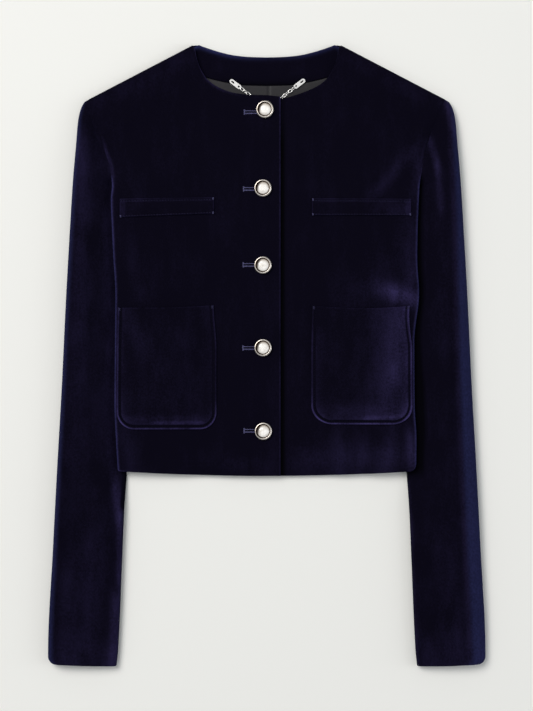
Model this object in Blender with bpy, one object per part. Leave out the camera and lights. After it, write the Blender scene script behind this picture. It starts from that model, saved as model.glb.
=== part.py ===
"""A collarless velvet jacket that lies flat on its back, buttoned, with its sleeves straight beside it.

X runs across the garment, Y from hem to shoulders and Z up from the surface that it lies on.
Left and right are the wearer's, so the right side has negative X. Sizes are in millimetres, and a
mesh becomes metres as it is written. Each cloth panel is a height over its plan, with a wall.
"""

import math
from collections import namedtuple

import bmesh
import bpy
import numpy as np

MM = 0.001

# Cloth and seams
VELVET = 1.8
POCKET_CLOTH = 1.6
LINING = 1.0
SEAM = 0.4
RESTING = 0.45

# Plan of the body
NECK_POINT = (79.0, 341.0)
SHOULDER_POINT = (196.2, 280.7)
BACK_NECK_POINT = (76.3, 342.4)
HEM_MIDDLE = -133.1
HEM_RISE = 4.9
HEM_HALF = 154.0
CLOSING_EDGE = 15.1
UNDERLAP = 19.0
HEM_CORNER = {"right": 1.5, "left": 7.0}

# Heights of the body
BODY_THICK = 7.0
SLEEVE_LIFT = 6.2
SHOULDER_THICK = 10.4
NECK_RAISE = 1.6
OVERLAP_RAISE = 2.3
SIDE_SEAM_RISE = 3.8
FOLD_REACH = 4.5
SHOULDER_REACH = 6.0

# Where a height comes in: from start, over a length, which is negative towards the middle or the hem
Ramp = namedtuple("Ramp", "start length")
LIFT_ACROSS = Ramp(50.0, 98.0)
LIFT_DOWN = Ramp(228.0, -40.0)
SIDE_FOLD = Ramp(200.0, -16.0)
ARMHOLE = Ramp(184.0, 18.0)
SHOULDER_BAND = Ramp(64.0, -54.0)
NECK_UP = Ramp(225.0, 50.0)
NECK_ACROSS = Ramp(70.0, -50.0)
OVERLAP_ACROSS = Ramp(72.0, -46.0)
FOLDS_INSIDE_EDGE = Ramp(0.0, 12.0)
TUCKED_UNDER_BODY = Ramp(-166.0, 30.0)

# Sleeves
SLEEVE_TOP = (280.3, 277.9)
CUFF = (-342.4, -340.2)
CUFF_CORNER = (8.0, 9.0)
UNDERARM = 186.0
SWELL_FROM_EDGE = 1.5
WIDEST_ROLL = {"outer": 0.55, "inner": 0.3, "underarm": 0.4}
UNDERARM_REACH = 18.0

BodyEdge = namedtuple("BodyEdge", "y right left")
BODY_EDGE = (
    BodyEdge(-127.0, 163.8, 164.2),
    BodyEdge(-93.0, 165.8, 164.6),
    BodyEdge(-55.0, 167.4, 162.6),
    BodyEdge(15.0, 166.9, 162.2),
    BodyEdge(68.0, 166.4, 167.4),
    BodyEdge(106.0, 168.6, 165.4),
    BodyEdge(140.0, 170.2, 165.9),
    BodyEdge(172.0, 171.4, 167.2),
    BodyEdge(186.0, 170.2, 168.0),
    BodyEdge(204.0, 172.0, 170.6),
    BodyEdge(222.0, 177.6, 174.2),
    BodyEdge(241.0, 184.2, 179.6),
    BodyEdge(262.0, 190.6, 187.6),
    BodyEdge(280.7, 196.2, 196.2),
)

EdgePoint = namedtuple("EdgePoint", "y x")
SLEEVE_OUTER = (
    EdgePoint(278.0, 201.0),
    EdgePoint(272.0, 204.4),
    EdgePoint(258.5, 207.6),
    EdgePoint(232.0, 209.8),
    EdgePoint(192.0, 213.2),
    EdgePoint(140.0, 216.4),
    EdgePoint(60.0, 220.9),
    EdgePoint(-32.0, 225.3),
    EdgePoint(-129.0, 230.8),
    EdgePoint(-214.0, 235.2),
    EdgePoint(-319.0, 240.6),
    EdgePoint(-342.4, 240.8),
)
SLEEVE_INNER = (
    EdgePoint(172.0, 160.0),
    EdgePoint(158.0, 154.0),
    EdgePoint(120.0, 150.0),
    EdgePoint(0.0, 149.0),
    EdgePoint(-100.0, 152.0),
    EdgePoint(-129.0, 154.2),
    EdgePoint(-173.0, 157.0),
    EdgePoint(-225.0, 159.2),
    EdgePoint(-325.0, 163.7),
    EdgePoint(-342.4, 165.5),
)

SleeveSection = namedtuple("SleeveSection", "y thick inner_thick roll_right roll_left")
SLEEVE_SECTIONS = (
    SleeveSection(278.0, 10.4, 5.7, 5.0, 5.0),
    SleeveSection(262.0, 13.0, 5.7, 6.5, 6.0),
    SleeveSection(238.0, 15.5, 5.7, 7.5, 6.5),
    SleeveSection(200.0, 17.0, 5.7, 8.0, 8.0),
    SleeveSection(60.0, 17.5, 5.7, 7.5, 10.5),
    SleeveSection(-134.0, 17.5, 5.7, 7.5, 15.0),
    SleeveSection(-176.0, 18.0, 12.5, 8.0, 17.0),
    SleeveSection(-250.0, 17.0, 13.0, 8.0, 15.5),
    SleeveSection(-342.4, 14.5, 11.5, 7.0, 13.5),
)

NeckPoint = namedtuple("NeckPoint", "x y")
FRONT_NECK = (
    NeckPoint(54.0, 295.0),
    NeckPoint(65.0, 303.0),
    NeckPoint(71.3, 312.0),
    NeckPoint(76.2, 323.0),
    NeckPoint(78.2, 332.0),
    NeckPoint(*NECK_POINT),
)
# The start of each front's neckline, from its closing edge
NECK_START = {
    "right": (
        NeckPoint(-CLOSING_EDGE, 284.0),
        NeckPoint(-2.0, 285.5),
        NeckPoint(18.0, 286.2),
        NeckPoint(36.0, 288.3),
    ),
    "left": (
        NeckPoint(-UNDERLAP, 281.4),
        NeckPoint(10.0, 281.6),
        NeckPoint(20.0, 282.8),
        NeckPoint(30.0, 285.6),
    ),
}
BACK_NECK = (
    NeckPoint(0.0, 327.6),
    NeckPoint(19.0, 328.4),
    NeckPoint(38.0, 330.2),
    NeckPoint(60.0, 334.6),
    NeckPoint(70.0, 338.4),
    NeckPoint(*BACK_NECK_POINT),
)
FACING_LOWER = (
    NeckPoint(0.0, 297.2),
    NeckPoint(25.0, 297.9),
    NeckPoint(43.0, 300.6),
    NeckPoint(57.0, 303.6),
    NeckPoint(82.0, 311.0),
)

# The largest folds: a soft ridge (or trough, if height is negative) along a straight line
Fold = namedtuple("Fold", "panel x0 y0 x1 y1 width height")
FOLDS = (
    Fold("front_left", 176.0, 250.0, 122.0, 181.0, 14.0, 1.7),
    Fold("front_left", 160.0, 204.0, 118.0, 168.0, 12.0, -1.0),
    Fold("front_left", 132.0, 72.0, 156.0, 62.0, 15.0, 1.3),
    Fold("front_left", 82.0, -132.0, 84.0, -88.0, 11.0, 1.4),
    Fold("front_left", 104.0, -132.0, 102.0, -96.0, 10.0, -0.9),
    Fold("front_left", 131.0, -132.0, 128.0, -92.0, 12.0, 1.2),
    Fold("front_right", 170.0, 236.0, 128.0, 186.0, 16.0, 1.2),
    Fold("front_right", 96.0, -132.0, 98.0, -98.0, 13.0, 0.9),
    Fold("front_right", 118.0, 110.0, 78.0, 92.0, 18.0, 0.8),
    Fold("sleeve_left", 181.0, 238.0, 193.0, 158.0, 9.0, 1.5),
    Fold("sleeve_left", 196.0, 120.0, 202.0, -40.0, 13.0, -1.3),
    Fold("sleeve_left", 186.0, -150.0, 196.0, -250.0, 14.0, 1.2),
    Fold("sleeve_right", 203.0, 226.0, 204.0, 70.0, 9.0, 1.2),
    Fold("sleeve_right", 196.0, 30.0, 200.0, -90.0, 13.0, -1.2),
    Fold("sleeve_right", 180.0, -140.0, 190.0, -240.0, 15.0, 1.1),
)

Welt = namedtuple("Welt", "side inner outer inner_top inner_low outer_top outer_low")
WELTS = (
    Welt("right", 58.0, 161.4, 173.6, 155.6, 171.6, 151.2),
    Welt("left", 49.8, 158.4, 172.6, 153.8, 171.4, 153.2),
)
JET_TALL = 2.4
LINING_LOWER = 262.0
FACING_FROM_SHOULDER = 8.2

# A patch pocket is drawn in at its mouth by mouth_in on its inner side and mouth_out on its outer side
Pocket = namedtuple(
    "Pocket", "side inner outer_gap inner_top outer_top low corner_wide corner_tall sag mouth_in mouth_out"
)
POCKETS = (
    Pocket("right", 55.2, 2.6, 55.0, 52.2, -81.8, 18.0, 19.0, 1.4, 3.0, 0.4),
    Pocket("left", 49.0, 2.6, 54.4, 54.0, -76.4, 24.0, 20.5, 2.8, 1.0, 7.0),
)
MOUTH_DRAWN = 48.0

Button = namedtuple("Button", "x y")
BUTTONS = (
    Button(-2.1, 269.7),
    Button(-4.3, 183.5),
    Button(-4.3, 98.8),
    Button(-4.2, 8.0),
    Button(-3.8, -83.7),
)
RIM_PROFILE = ((9.0, 0.0), (9.6, 0.9), (9.6, 2.3), (9.0, 3.3), (8.2, 3.5), (7.4, 2.9), (7.1, 1.6))
PEARL_PROFILE = ((6.6, 1.9), (6.8, 2.8), (5.9, 3.9), (3.6, 4.9))
PEARL_TOP = 5.3
BUTTON_SIDES = 16

# Hanger chain: the two plates on the facing, and the slack chain between them
PLATE_LONG = 15.0
PLATE_WIDE = 5.0
PLATE_THICK = 1.2
PLATES = {"right": ((-40.6, 303.0), (-28.3, 293.7)), "left": ((41.7, 303.3), (30.3, 294.5))}
CHAIN_THICK = 2.4
CHAIN_HEIGHT = 5.0
CHAIN_ROUTE = (
    (-27.0, 292.7),
    (-22.5, 289.2),
    (-17.9, 286.0),
    (-11.5, 280.0),
    (-4.0, 275.2),
    (3.5, 274.6),
    (10.5, 278.0),
    (15.7, 282.6),
    (22.5, 288.3),
    (29.0, 293.4),
)

# Shares of a panel's width and height at which its wall is sampled
FRONT_ACROSS = {
    "right": (-15.1, 4.0, 22.0, 34.0, 45.0, 55.0, 63.0, 68.5, 72.0, 92.0, 112.0, 132.0, 150.0),
    "left": (-19.0, 10.0, 36.0, 54.0, 63.0, 68.5, 72.0, 92.0, 112.0, 132.0, 150.0),
}
FOLD_STEPS = (5.0, 2.8, 1.3, 0.4, 0.0)
BODY_HALF = 167.0
NECK_COLUMN = 72.0
BACK_ACROSS = (0.0, 25.0, 48.0, 66.5, 72.0, 98.0, 124.0, 148.0)
FRONT_UP = (0, 0.06, 0.14, 0.22, 0.31, 0.40, 0.49, 0.58, 0.66, 0.72, 0.76, 0.785, 0.81, 0.84, 0.875)
SHOULDER_UP = (0.91, 0.94, 0.963, 0.978, 0.9865, 0.993, 0.9972, 0.9993, 1)
SLEEVE_DOWN = (0, 0.004, 0.012, 0.03, 0.06, 0.095, 0.125, 0.145, 0.16, 0.18, 0.21, 0.29)
CUFF_DOWN = (0.39, 0.5, 0.6, 0.66, 0.695, 0.74, 0.83, 0.93, 0.983, 0.995, 1)
SLEEVE_ACROSS = (0, 0.012, 0.045, 0.1, 0.23, 0.33, 0.46, 0.6, 0.74, 0.86, 0.94, 0.985, 1)
UNDER_ACROSS = (0, 0.012, 0.045, 0.1, 0.4, 0.74, 0.87, 0.945, 0.985, 1)


def ease(share):
    """0 before 0, 1 after 1, and a smooth step between."""
    share = np.clip(share, 0.0, 1.0)
    return share * share * (3.0 - 2.0 * share)


def roll(share):
    """How far a rolled edge has turned: 1 at the edge itself, 0 one reach inside it."""
    inside = 1.0 - np.clip(share, 0.0, 1.0)
    return 1.0 - np.sqrt(np.clip(1.0 - inside * inside, 0.0, 1.0))


def along(ramp, at):
    return ease((at - ramp.start) / ramp.length)


def mix(first, second, share):
    return first + (second - first) * share


def smooth(rows, at):
    """Reads a short table of (key, value) rows along a curve that passes each row and never overshoots."""
    keys, values = np.array(sorted(rows), float).T
    step = np.diff(keys)
    rise = np.diff(values) / step
    slope = np.concatenate([rise[:1], np.zeros(len(rise) - 1), rise[-1:]])
    product = rise[:-1] * rise[1:]
    total = rise[:-1] + rise[1:]
    slope[1:-1] = np.where(product > 0, 2.0 * product / np.where(product > 0, total, 1.0), 0.0)
    at = np.clip(at, keys[0], keys[-1])
    i = np.clip(np.searchsorted(keys, at) - 1, 0, len(step) - 1)
    t = (at - keys[i]) / step[i]
    start = (1 + 2 * t) * (1 - t) ** 2 * values[i] + t * (1 - t) ** 2 * step[i] * slope[i]
    end = t * t * (3 - 2 * t) * values[i + 1] + t * t * (t - 1) * step[i] * slope[i + 1]
    return start + end


def column(rows, key, name):
    """One column of a table as (key, value) rows."""
    return [(getattr(row, key), getattr(row, name)) for row in rows]


def body_edge(y, side):
    """Distance from the middle to the side fold, and above the underarm to the armhole seam."""
    return smooth(column(BODY_EDGE, "y", side), y)


def shoulder_line(x):
    slope = (SHOULDER_POINT[1] - NECK_POINT[1]) / (SHOULDER_POINT[0] - NECK_POINT[0])
    return NECK_POINT[1] + slope * (x - NECK_POINT[0])


SHOULDER_TILT = math.atan2(NECK_POINT[1] - SHOULDER_POINT[1], SHOULDER_POINT[0] - NECK_POINT[0])
SHOULDER_OUT = (math.sin(SHOULDER_TILT), math.cos(SHOULDER_TILT), 0.0)


def shoulder_distance(x, y):
    return (shoulder_line(x) - y) * math.cos(SHOULDER_TILT)


def folds(panel, x, y):
    """The height that a panel's largest folds add at a place."""
    height = np.zeros(np.broadcast(x, y).shape)
    for fold in FOLDS:
        if fold.panel != panel:
            continue
        length = math.hypot(fold.x1 - fold.x0, fold.y1 - fold.y0)
        run_x = (fold.x1 - fold.x0) / length
        run_y = (fold.y1 - fold.y0) / length
        t = (x - fold.x0) * run_x + (y - fold.y0) * run_y
        off = (y - fold.y0) * run_x - (x - fold.x0) * run_y
        past = np.maximum(np.maximum(-t, t - length), 0.0)
        height = height + fold.height * np.exp(-((off / fold.width) ** 2) - (past / fold.width) ** 2)
    return height


def lift(x, y):
    """How far the sleeves under its sides raise the body from the surface."""
    return SLEEVE_LIFT * along(LIFT_ACROSS, x) * along(LIFT_DOWN, y)


def fold_share(y):
    """1 where the body's edge is a side fold, 0 where it is sewn to the sleeve."""
    return along(SIDE_FOLD, y)


def arm_share(y):
    """0 where the sleeve is a closed tube, 1 where it is sewn to the armhole."""
    return along(ARMHOLE, y)


def seam_height(x, y):
    return lift(x, y) + SIDE_SEAM_RISE


def front_plain(x, y, side):
    """Top of a front, before it rolls over at the side and the shoulder."""
    height = BODY_THICK + lift(x, y)
    height = height + (SHOULDER_THICK - BODY_THICK) * along(SHOULDER_BAND, shoulder_distance(x, y))
    height = height + NECK_RAISE * along(NECK_UP, y) * along(NECK_ACROSS, x)
    if side == "right":
        height = height + OVERLAP_RAISE * along(OVERLAP_ACROSS, x)
    inside = along(FOLDS_INSIDE_EDGE, body_edge(y, side) - x)
    return height + folds("front_" + side, x, y) * inside


def front_top(x, y, side):
    height = front_plain(x, y, side)
    edge = body_edge(y, side)
    seam = seam_height(edge, y) + SEAM / 2
    height = mix(height, seam, fold_share(y) * roll((edge - x) / FOLD_REACH))
    shoulder_seam = SHOULDER_THICK / 2 + SEAM / 2
    return mix(height, shoulder_seam, roll(shoulder_distance(x, y) / SHOULDER_REACH))


def back_low(x, y, side):
    """Underside of the back, over the right or the left sleeve."""
    height = lift(x, y)
    edge = body_edge(y, side)
    seam = seam_height(edge, y) - SEAM / 2
    height = mix(height, seam, fold_share(y) * roll((edge - x) / FOLD_REACH))
    shoulder_seam = SHOULDER_THICK / 2 - SEAM / 2
    return mix(height, shoulder_seam, roll(shoulder_distance(x, y) / SHOULDER_REACH))


def hem(x, side):
    """Lower edge of the body, with its corner at the side fold rounded off."""
    corner = HEM_CORNER[side]
    edge = BODY_EDGE[0].right if side == "right" else BODY_EDGE[0].left
    past = np.clip((np.abs(x) - (edge - corner)) / corner, 0.0, 1.0)
    return HEM_MIDDLE + HEM_RISE * (x / HEM_HALF) ** 2 + corner * (1.0 - np.sqrt(1.0 - past * past))


def line_points(points, share):
    """Points at shares of the length of a smooth line through the given points."""
    points = np.array(points, float)
    run = np.concatenate([[0.0], np.cumsum(np.hypot(*np.diff(points, axis=0).T))])
    at = np.asarray(share) * run[-1]
    return np.stack([smooth(list(zip(run, points[:, k])), at) for k in (0, 1)], axis=-1)


def neck_and_shoulder(neck, neck_share, share):
    """Top edge of a panel: the neckline up to neck_share of the width, then the straight shoulder."""
    share = np.asarray(share, float)
    x = mix(neck[0].x, neck[-1].x, np.clip(share / neck_share, 0.0, 1.0))
    curve = np.stack([x, smooth(neck, x)], axis=-1)
    out = np.clip((share - neck_share) / (1.0 - neck_share), 0.0, 1.0)[:, None]
    line = np.array(neck[-1]) * (1.0 - out) + np.array(SHOULDER_POINT) * out
    return np.where((share <= neck_share)[:, None], curve, line)


def plan(top, inner, side, across, up):
    """Plan points [up, across] of half a body panel, blended from its four edges."""
    u = np.asarray(across, float)
    v = np.asarray(up, float)
    edge_low = body_edge(BODY_EDGE[0].y, side)
    low_x = mix(inner, edge_low, u)
    low = np.stack([low_x, hem(low_x, side)], axis=-1)
    high = top(u)
    first = mix(low[0], high[0], v[:, None])
    last_y = mix(low[-1, 1], high[-1, 1], v)
    last = np.stack([body_edge(last_y, side), last_y], axis=-1)
    u = u[None, :, None]
    v = v[:, None, None]
    between_ends = mix(low[None], high[None], v)
    between_sides = mix(first[:, None], last[:, None], u)
    corners = mix(mix(low[0], low[-1], u), mix(high[0], high[-1], u), v)
    return between_ends + between_sides - corners


def unit(vectors):
    return vectors / np.linalg.norm(vectors, axis=-1, keepdims=True)


def slopes(points, axis):
    """Direction of a grid along one axis, halfway between its two neighbours."""
    steps = unit(np.diff(points, axis=axis))
    first = np.take(steps, [0], axis=axis)
    last = np.take(steps, [-1], axis=axis)
    return np.concatenate([first, steps], axis=axis) + np.concatenate([steps, last], axis=axis)


def normals_of(points, upward):
    """Unit normals of a grid [up, across], on the side that is given as up or down."""
    normals = unit(np.cross(slopes(points, 1), slopes(points, 0)))
    wrong_way = (normals[..., 2:] < 0) == upward
    return np.where(wrong_way, -normals, normals)


def lean(across, upright):
    """Normals between pointing straight out across the garment (0) and straight up or down (1)."""
    upright = np.asarray(upright, float)[:, None]
    return unit(np.asarray(across) * (1.0 - np.abs(upright)) + np.array((0.0, 0.0, 1.0)) * upright)


def finish(name, colour, roughness, metallic=0.0):
    material = bpy.data.materials.new(name)
    material.use_nodes = True
    shader = material.node_tree.nodes["Principled BSDF"]
    shader.inputs["Base Color"].default_value = (*colour, 1.0)
    shader.inputs["Roughness"].default_value = roughness
    shader.inputs["Metallic"].default_value = metallic
    return material


FINISHES = {
    "velvet": ((0.008, 0.008, 0.018), 0.85, 0.0),
    "lining": ((0.055, 0.055, 0.06), 0.5, 0.0),
    "silver": ((0.72, 0.69, 0.66), 0.25, 1.0),
    "pearl": ((0.82, 0.8, 0.77), 0.2, 0.0),
}


def add_object(name, mesh, kind):
    """Names a mesh's object and gives it a material of its own."""
    mesh.materials.append(finish(name + "_finish", *FINISHES[kind]))
    thing = bpy.data.objects.new(name, mesh)
    bpy.context.scene.collection.objects.link(thing)
    return thing


def mesh_from(name, points, faces, is_smooth):
    """A closed mesh, in metres, with its faces turned outwards."""
    shape = bmesh.new()
    corners = [shape.verts.new(point) for point in np.asarray(points, float) * MM]
    for face in faces:
        shape.faces.new([corners[i] for i in face])
    bmesh.ops.recalc_face_normals(shape, faces=shape.faces)
    mesh = bpy.data.meshes.new(name)
    shape.to_mesh(mesh)
    shape.free()
    if is_smooth:
        mesh.shade_smooth()
        mesh.set_sharp_from_angle(angle=math.radians(50))
    return mesh


def wall(name, points, normals, thick, side, kind="velvet"):
    """A cloth panel: the grid that shows, the same grid one thickness behind it, and the cut edges."""
    mirror = np.array((-1.0 if side == "right" else 1.0, 1.0, 1.0))
    shown = (points * mirror).reshape(-1, 3)
    hidden = ((points - normals * thick) * mirror).reshape(-1, 3)
    rows, columns = points.shape[:2]
    at = np.arange(rows * columns).reshape(rows, columns)
    faces = []
    for i in range(rows - 1):
        for j in range(columns - 1):
            cell = [at[i, j], at[i, j + 1], at[i + 1, j + 1], at[i + 1, j]]
            faces.append(cell)
            faces.append([corner + rows * columns for corner in reversed(cell)])
    loop = [*at[0, :-1], *at[:-1, -1], *at[-1, :0:-1], *at[:0:-1, 0]]
    for here, there in zip(loop, loop[1:] + loop[:1]):
        faces.append([there, here, here + rows * columns, there + rows * columns])
    return add_object(name, mesh_from(name, np.concatenate([shown, hidden]), faces, True), kind)


def with_height(flat, height):
    return np.concatenate([flat, height[..., None]], axis=-1)


def across_shares(columns, inner):
    """Columns given as distances from the middle, and the steps of the side fold, as shares of the width."""
    places = list(columns) + [BODY_HALF - step for step in FOLD_STEPS]
    return (np.array(places) - inner) / (BODY_HALF - inner)


def front(side):
    """One front, from its closing edge round to the side seam."""
    inner = -CLOSING_EDGE if side == "right" else -UNDERLAP
    across = across_shares(FRONT_ACROSS[side], inner)
    neck_share = (NECK_COLUMN - inner) / (BODY_HALF - inner)
    neck = NECK_START[side] + FRONT_NECK
    up = np.array(FRONT_UP + SHOULDER_UP)
    flat = plan(lambda u: neck_and_shoulder(neck, neck_share, u), inner, side, across, up)
    points = with_height(flat, front_top(flat[..., 0], flat[..., 1], side))
    normals = normals_of(points, True)
    on_shoulder = across >= neck_share - 1e-6
    normals[:, -1] = lean((1.0, 0.0, 0.0), 1.0 - fold_share(points[:, -1, 1]))
    normals[-1, on_shoulder] = SHOULDER_OUT
    wall("front_" + side, points, normals, VELVET, side)


def back():
    """The back, one piece from side seam to side seam, lying on the surface in the middle."""
    across = across_shares(BACK_ACROSS, 0.0)
    neck_share = NECK_COLUMN / BODY_HALF
    up = np.array(FRONT_UP + SHOULDER_UP)
    on_shoulder = across >= neck_share - 1e-6
    halves = []
    for side in ("right", "left"):
        flat = plan(lambda u: neck_and_shoulder(BACK_NECK, neck_share, u), 0.0, side, across, up)
        points = with_height(flat, back_low(flat[..., 0], flat[..., 1], side))
        normals = normals_of(points, False)
        normals[:, -1] = lean((1.0, 0.0, 0.0), fold_share(points[:, -1, 1]) - 1.0)
        normals[:, 0] = (0.0, 0.0, -1.0)
        normals[-1, on_shoulder] = SHOULDER_OUT
        halves.append((points, normals))
    mirror = np.array((-1.0, 1.0, 1.0))
    points = np.concatenate([halves[0][0][:, :0:-1] * mirror, halves[1][0]], axis=1)
    normals = np.concatenate([halves[0][1][:, :0:-1] * mirror, halves[1][1]], axis=1)
    wall("back", points, normals, VELVET, "left")


def sleeve_section(down, side):
    """The sizes of the sleeve's cross section at a share of its length, from shoulder to cuff."""
    inner_y = mix(SLEEVE_TOP[0], CUFF[0], down)
    outer_y = mix(SLEEVE_TOP[1], CUFF[1], down)
    edge = body_edge(inner_y, side)
    rows = column(SLEEVE_INNER, "y", "x") + [(UNDERARM, body_edge(UNDERARM, side) + SEAM)]
    inner = np.where(inner_y >= UNDERARM, edge + SEAM, smooth(rows, inner_y))
    corner_x, corner_y = CUFF_CORNER
    past = np.clip((CUFF[1] + corner_y - outer_y) / corner_y, 0.0, 1.0)
    outer = smooth(column(SLEEVE_OUTER, "y", "x"), outer_y) - corner_x * (1.0 - np.sqrt(1.0 - past**2))
    width = outer - inner
    sizes = {"inner": inner, "outer": outer, "inner_y": inner_y, "outer_y": outer_y, "edge": edge}
    sizes["thick"] = smooth(column(SLEEVE_SECTIONS, "y", "thick"), inner_y)
    sizes["inner_thick"] = smooth(column(SLEEVE_SECTIONS, "y", "inner_thick"), inner_y)
    roll_out = smooth(column(SLEEVE_SECTIONS, "y", "roll_" + side), inner_y)
    sizes["roll_out"] = np.minimum(roll_out, WIDEST_ROLL["outer"] * width)
    sizes["roll_in"] = np.minimum(sizes["inner_thick"] / 2, WIDEST_ROLL["inner"] * width)
    sizes["arm"] = arm_share(inner_y)
    sizes["width"] = width
    return {key: value[:, None] for key, value in sizes.items()}


def sleeve_plan(size, across):
    x = mix(size["inner"], size["outer"], across)
    y = mix(size["inner_y"], size["outer_y"], across)
    return np.stack([x, y], axis=-1)


def sleeve_panel(side, upper):
    """The top or the under panel of a sleeve, from its inner seam to its outer one."""
    size = sleeve_section(np.array(SLEEVE_DOWN + CUFF_DOWN), side)
    flat = sleeve_plan(size, np.array(SLEEVE_ACROSS if upper else UNDER_ACROSS)[None, :])
    x = flat[..., 0]
    y = flat[..., 1]
    height_of = sleeve_top if upper else sleeve_under
    points = with_height(flat, height_of(x, y, size, side))
    normals = normals_of(points, upper)
    upright = size["arm"][:, 0] * (1.0 if upper else -1.0)
    normals[:, 0] = lean((-1.0, 0.0, 0.0), upright)
    normals[:, -1] = (1.0, 0.0, 0.0)
    normals[0] = SHOULDER_OUT
    wall(f"sleeve_{side}_{'top' if upper else 'under'}", points, normals, VELVET, side)


def sleeve_top(x, y, size, side):
    """Flat where the body lies on it, swelling beside the body, and rolled over at both edges."""
    armhole = front_plain(size["edge"], size["inner_y"], side)
    low = mix(size["inner_thick"], armhole, size["arm"])
    end = mix(size["inner_thick"] / 2 + SEAM / 2, armhole, size["arm"])
    tucked = along(TUCKED_UNDER_BODY, size["inner_y"])
    start = size["inner"] + size["roll_in"]
    start = start + tucked * np.maximum(size["edge"] + SWELL_FROM_EDGE - start, 0.0)
    swell = np.clip((x - start) / (size["outer"] - size["roll_out"] - start), 0.0, 1.0)
    height = mix(low, np.maximum(size["thick"], low), 1.0 - (1.0 - swell) ** 2)
    height = height + folds("sleeve_" + side, x, y) * ease(swell * 3.0)
    height = mix(height, end, roll((x - size["inner"]) / size["roll_in"]) * (1.0 - size["arm"]))
    outer_seam = size["thick"] / 2 + SEAM / 2
    height = mix(height, outer_seam, roll((size["outer"] - x) / size["roll_out"]))
    shoulder_seam = SHOULDER_THICK / 2 + SEAM / 2
    return mix(height, shoulder_seam, roll(shoulder_distance(x, y) / SHOULDER_REACH))


def sleeve_under(x, y, size, side):
    """Flat on the surface, and rolled up at both edges to meet the top panel."""
    armhole = lift(size["edge"], size["inner_y"])
    end = mix(size["inner_thick"] / 2 - SEAM / 2, armhole, size["arm"])
    wide_reach = np.minimum(UNDERARM_REACH, WIDEST_ROLL["underarm"] * size["width"])
    reach = mix(size["roll_in"], wide_reach, size["arm"])
    height = end * roll((x - size["inner"]) / reach)
    outer_seam = size["thick"] / 2 - SEAM / 2
    height = mix(height, outer_seam, roll((size["outer"] - x) / size["roll_out"]))
    shoulder_seam = SHOULDER_THICK / 2 - SEAM / 2
    return mix(height, shoulder_seam, roll(shoulder_distance(x, y) / SHOULDER_REACH))


def neck_pieces():
    """The velvet facing inside the back neck, and the strip of lining sewn under it."""
    x = np.linspace(-1.0, 1.0, 17)[None, :] * FACING_LOWER[-1].x
    out = np.abs(x)
    low = smooth(FACING_LOWER, out)
    neck = np.minimum(smooth(BACK_NECK, out) - SEAM, shoulder_line(out) - FACING_FROM_SHOULDER)
    for name, first, last, rows, thick, kind in (
        ("back_neck_facing", low, neck, 6, POCKET_CLOTH, "velvet"),
        ("back_lining", np.full_like(low, LINING_LOWER), low - SEAM, 4, LINING, "lining"),
    ):
        share = np.linspace(0.0, 1.0, rows)[:, None]
        y = mix(first, last, share)
        flat = np.stack([np.broadcast_to(x, y.shape), y], axis=-1)
        height = back_low(np.abs(flat[..., 0]), y, "left") + VELVET + RESTING + thick
        points = with_height(flat, height)
        wall(name, points, normals_of(points, True), thick, "left", kind)


def on_front(name, flat, side, thick):
    """A piece that lies on a front, made from the front's own height and moved out."""
    height = front_top(flat[..., 0], flat[..., 1], side) + RESTING + thick
    points = with_height(flat, height)
    upright = np.broadcast_to((0.0, 0.0, 1.0), points.shape)
    wall(name, points, upright, thick, side)


def chest_welt(welt):
    """A welt across the chest, and the thin jet along its upper edge."""
    across = np.linspace(0.0, 1.0, 9)[None, :]
    x = mix(welt.inner, welt.outer, across)
    top = mix(welt.inner_top, welt.outer_top, across)
    low = mix(welt.inner_low, welt.outer_low, across)
    for name, first, last, rows, thick in (
        ("chest_welt_", low, top - JET_TALL - SEAM, 4, POCKET_CLOTH),
        ("chest_jet_", top - JET_TALL, top, 2, LINING),
    ):
        share = np.linspace(0.0, 1.0, rows)[:, None]
        y = mix(first, last, share)
        on_front(name + welt.side, np.stack([np.broadcast_to(x, y.shape), y], axis=-1), welt.side, thick)


def patch_pocket(pocket):
    """A patch pocket with round lower corners and a mouth that sags a little."""
    turns = np.radians((90.0, 68.0, 45.0, 22.0, 0.0))
    across = np.array((0.0, 0.1, 0.28, 0.46, 0.64, 0.8, 0.92, 1.0))[None, :]
    top = mix(pocket.inner_top, pocket.outer_top, across) - pocket.sag * 4.0 * across * (1.0 - across)
    straight_low = pocket.low + pocket.corner_tall
    corner_y = straight_low - pocket.corner_tall * np.sin(turns)[:, None] + np.zeros_like(top)
    y = np.concatenate([corner_y, mix(straight_low, top, np.linspace(0.0, 1.0, 7)[1:, None])])
    inset = np.concatenate([pocket.corner_wide * (1.0 - np.cos(turns)), np.zeros(6)])[:, None]
    drawn = ease(1.0 - (top - y) / MOUTH_DRAWN)
    inner = pocket.inner + inset + pocket.mouth_in * drawn
    outer = body_edge(y, pocket.side) - pocket.outer_gap - inset - pocket.mouth_out * drawn
    x = mix(inner, outer, across)
    on_front("patch_pocket_" + pocket.side, np.stack([x, y], axis=-1), pocket.side, POCKET_CLOTH)


def turned(name, profile, top, bottom, kind, place):
    """A round piece turned from a profile of (radius, height) rows, closed at both ends on its axis."""
    turn = 2.0 * math.pi * np.arange(BUTTON_SIDES) / BUTTON_SIDES
    points = [(r * math.cos(a), r * math.sin(a), z) for r, z in profile for a in turn]
    points += [(0.0, 0.0, bottom), (0.0, 0.0, top)]
    foot = len(points) - 2
    faces = []
    for k in range(BUTTON_SIDES):
        after = (k + 1) % BUTTON_SIDES
        faces.append([foot, after, k])
        for ring in range(len(profile) - 1):
            low = ring * BUTTON_SIDES
            high = low + BUTTON_SIDES
            faces.append([low + k, low + after, high + after, high + k])
        last = (len(profile) - 1) * BUTTON_SIDES
        faces.append([foot + 1, last + k, last + after])
    thing = add_object(name, mesh_from(name, points, faces, True), kind)
    thing.location = np.array(place) * MM


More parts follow.
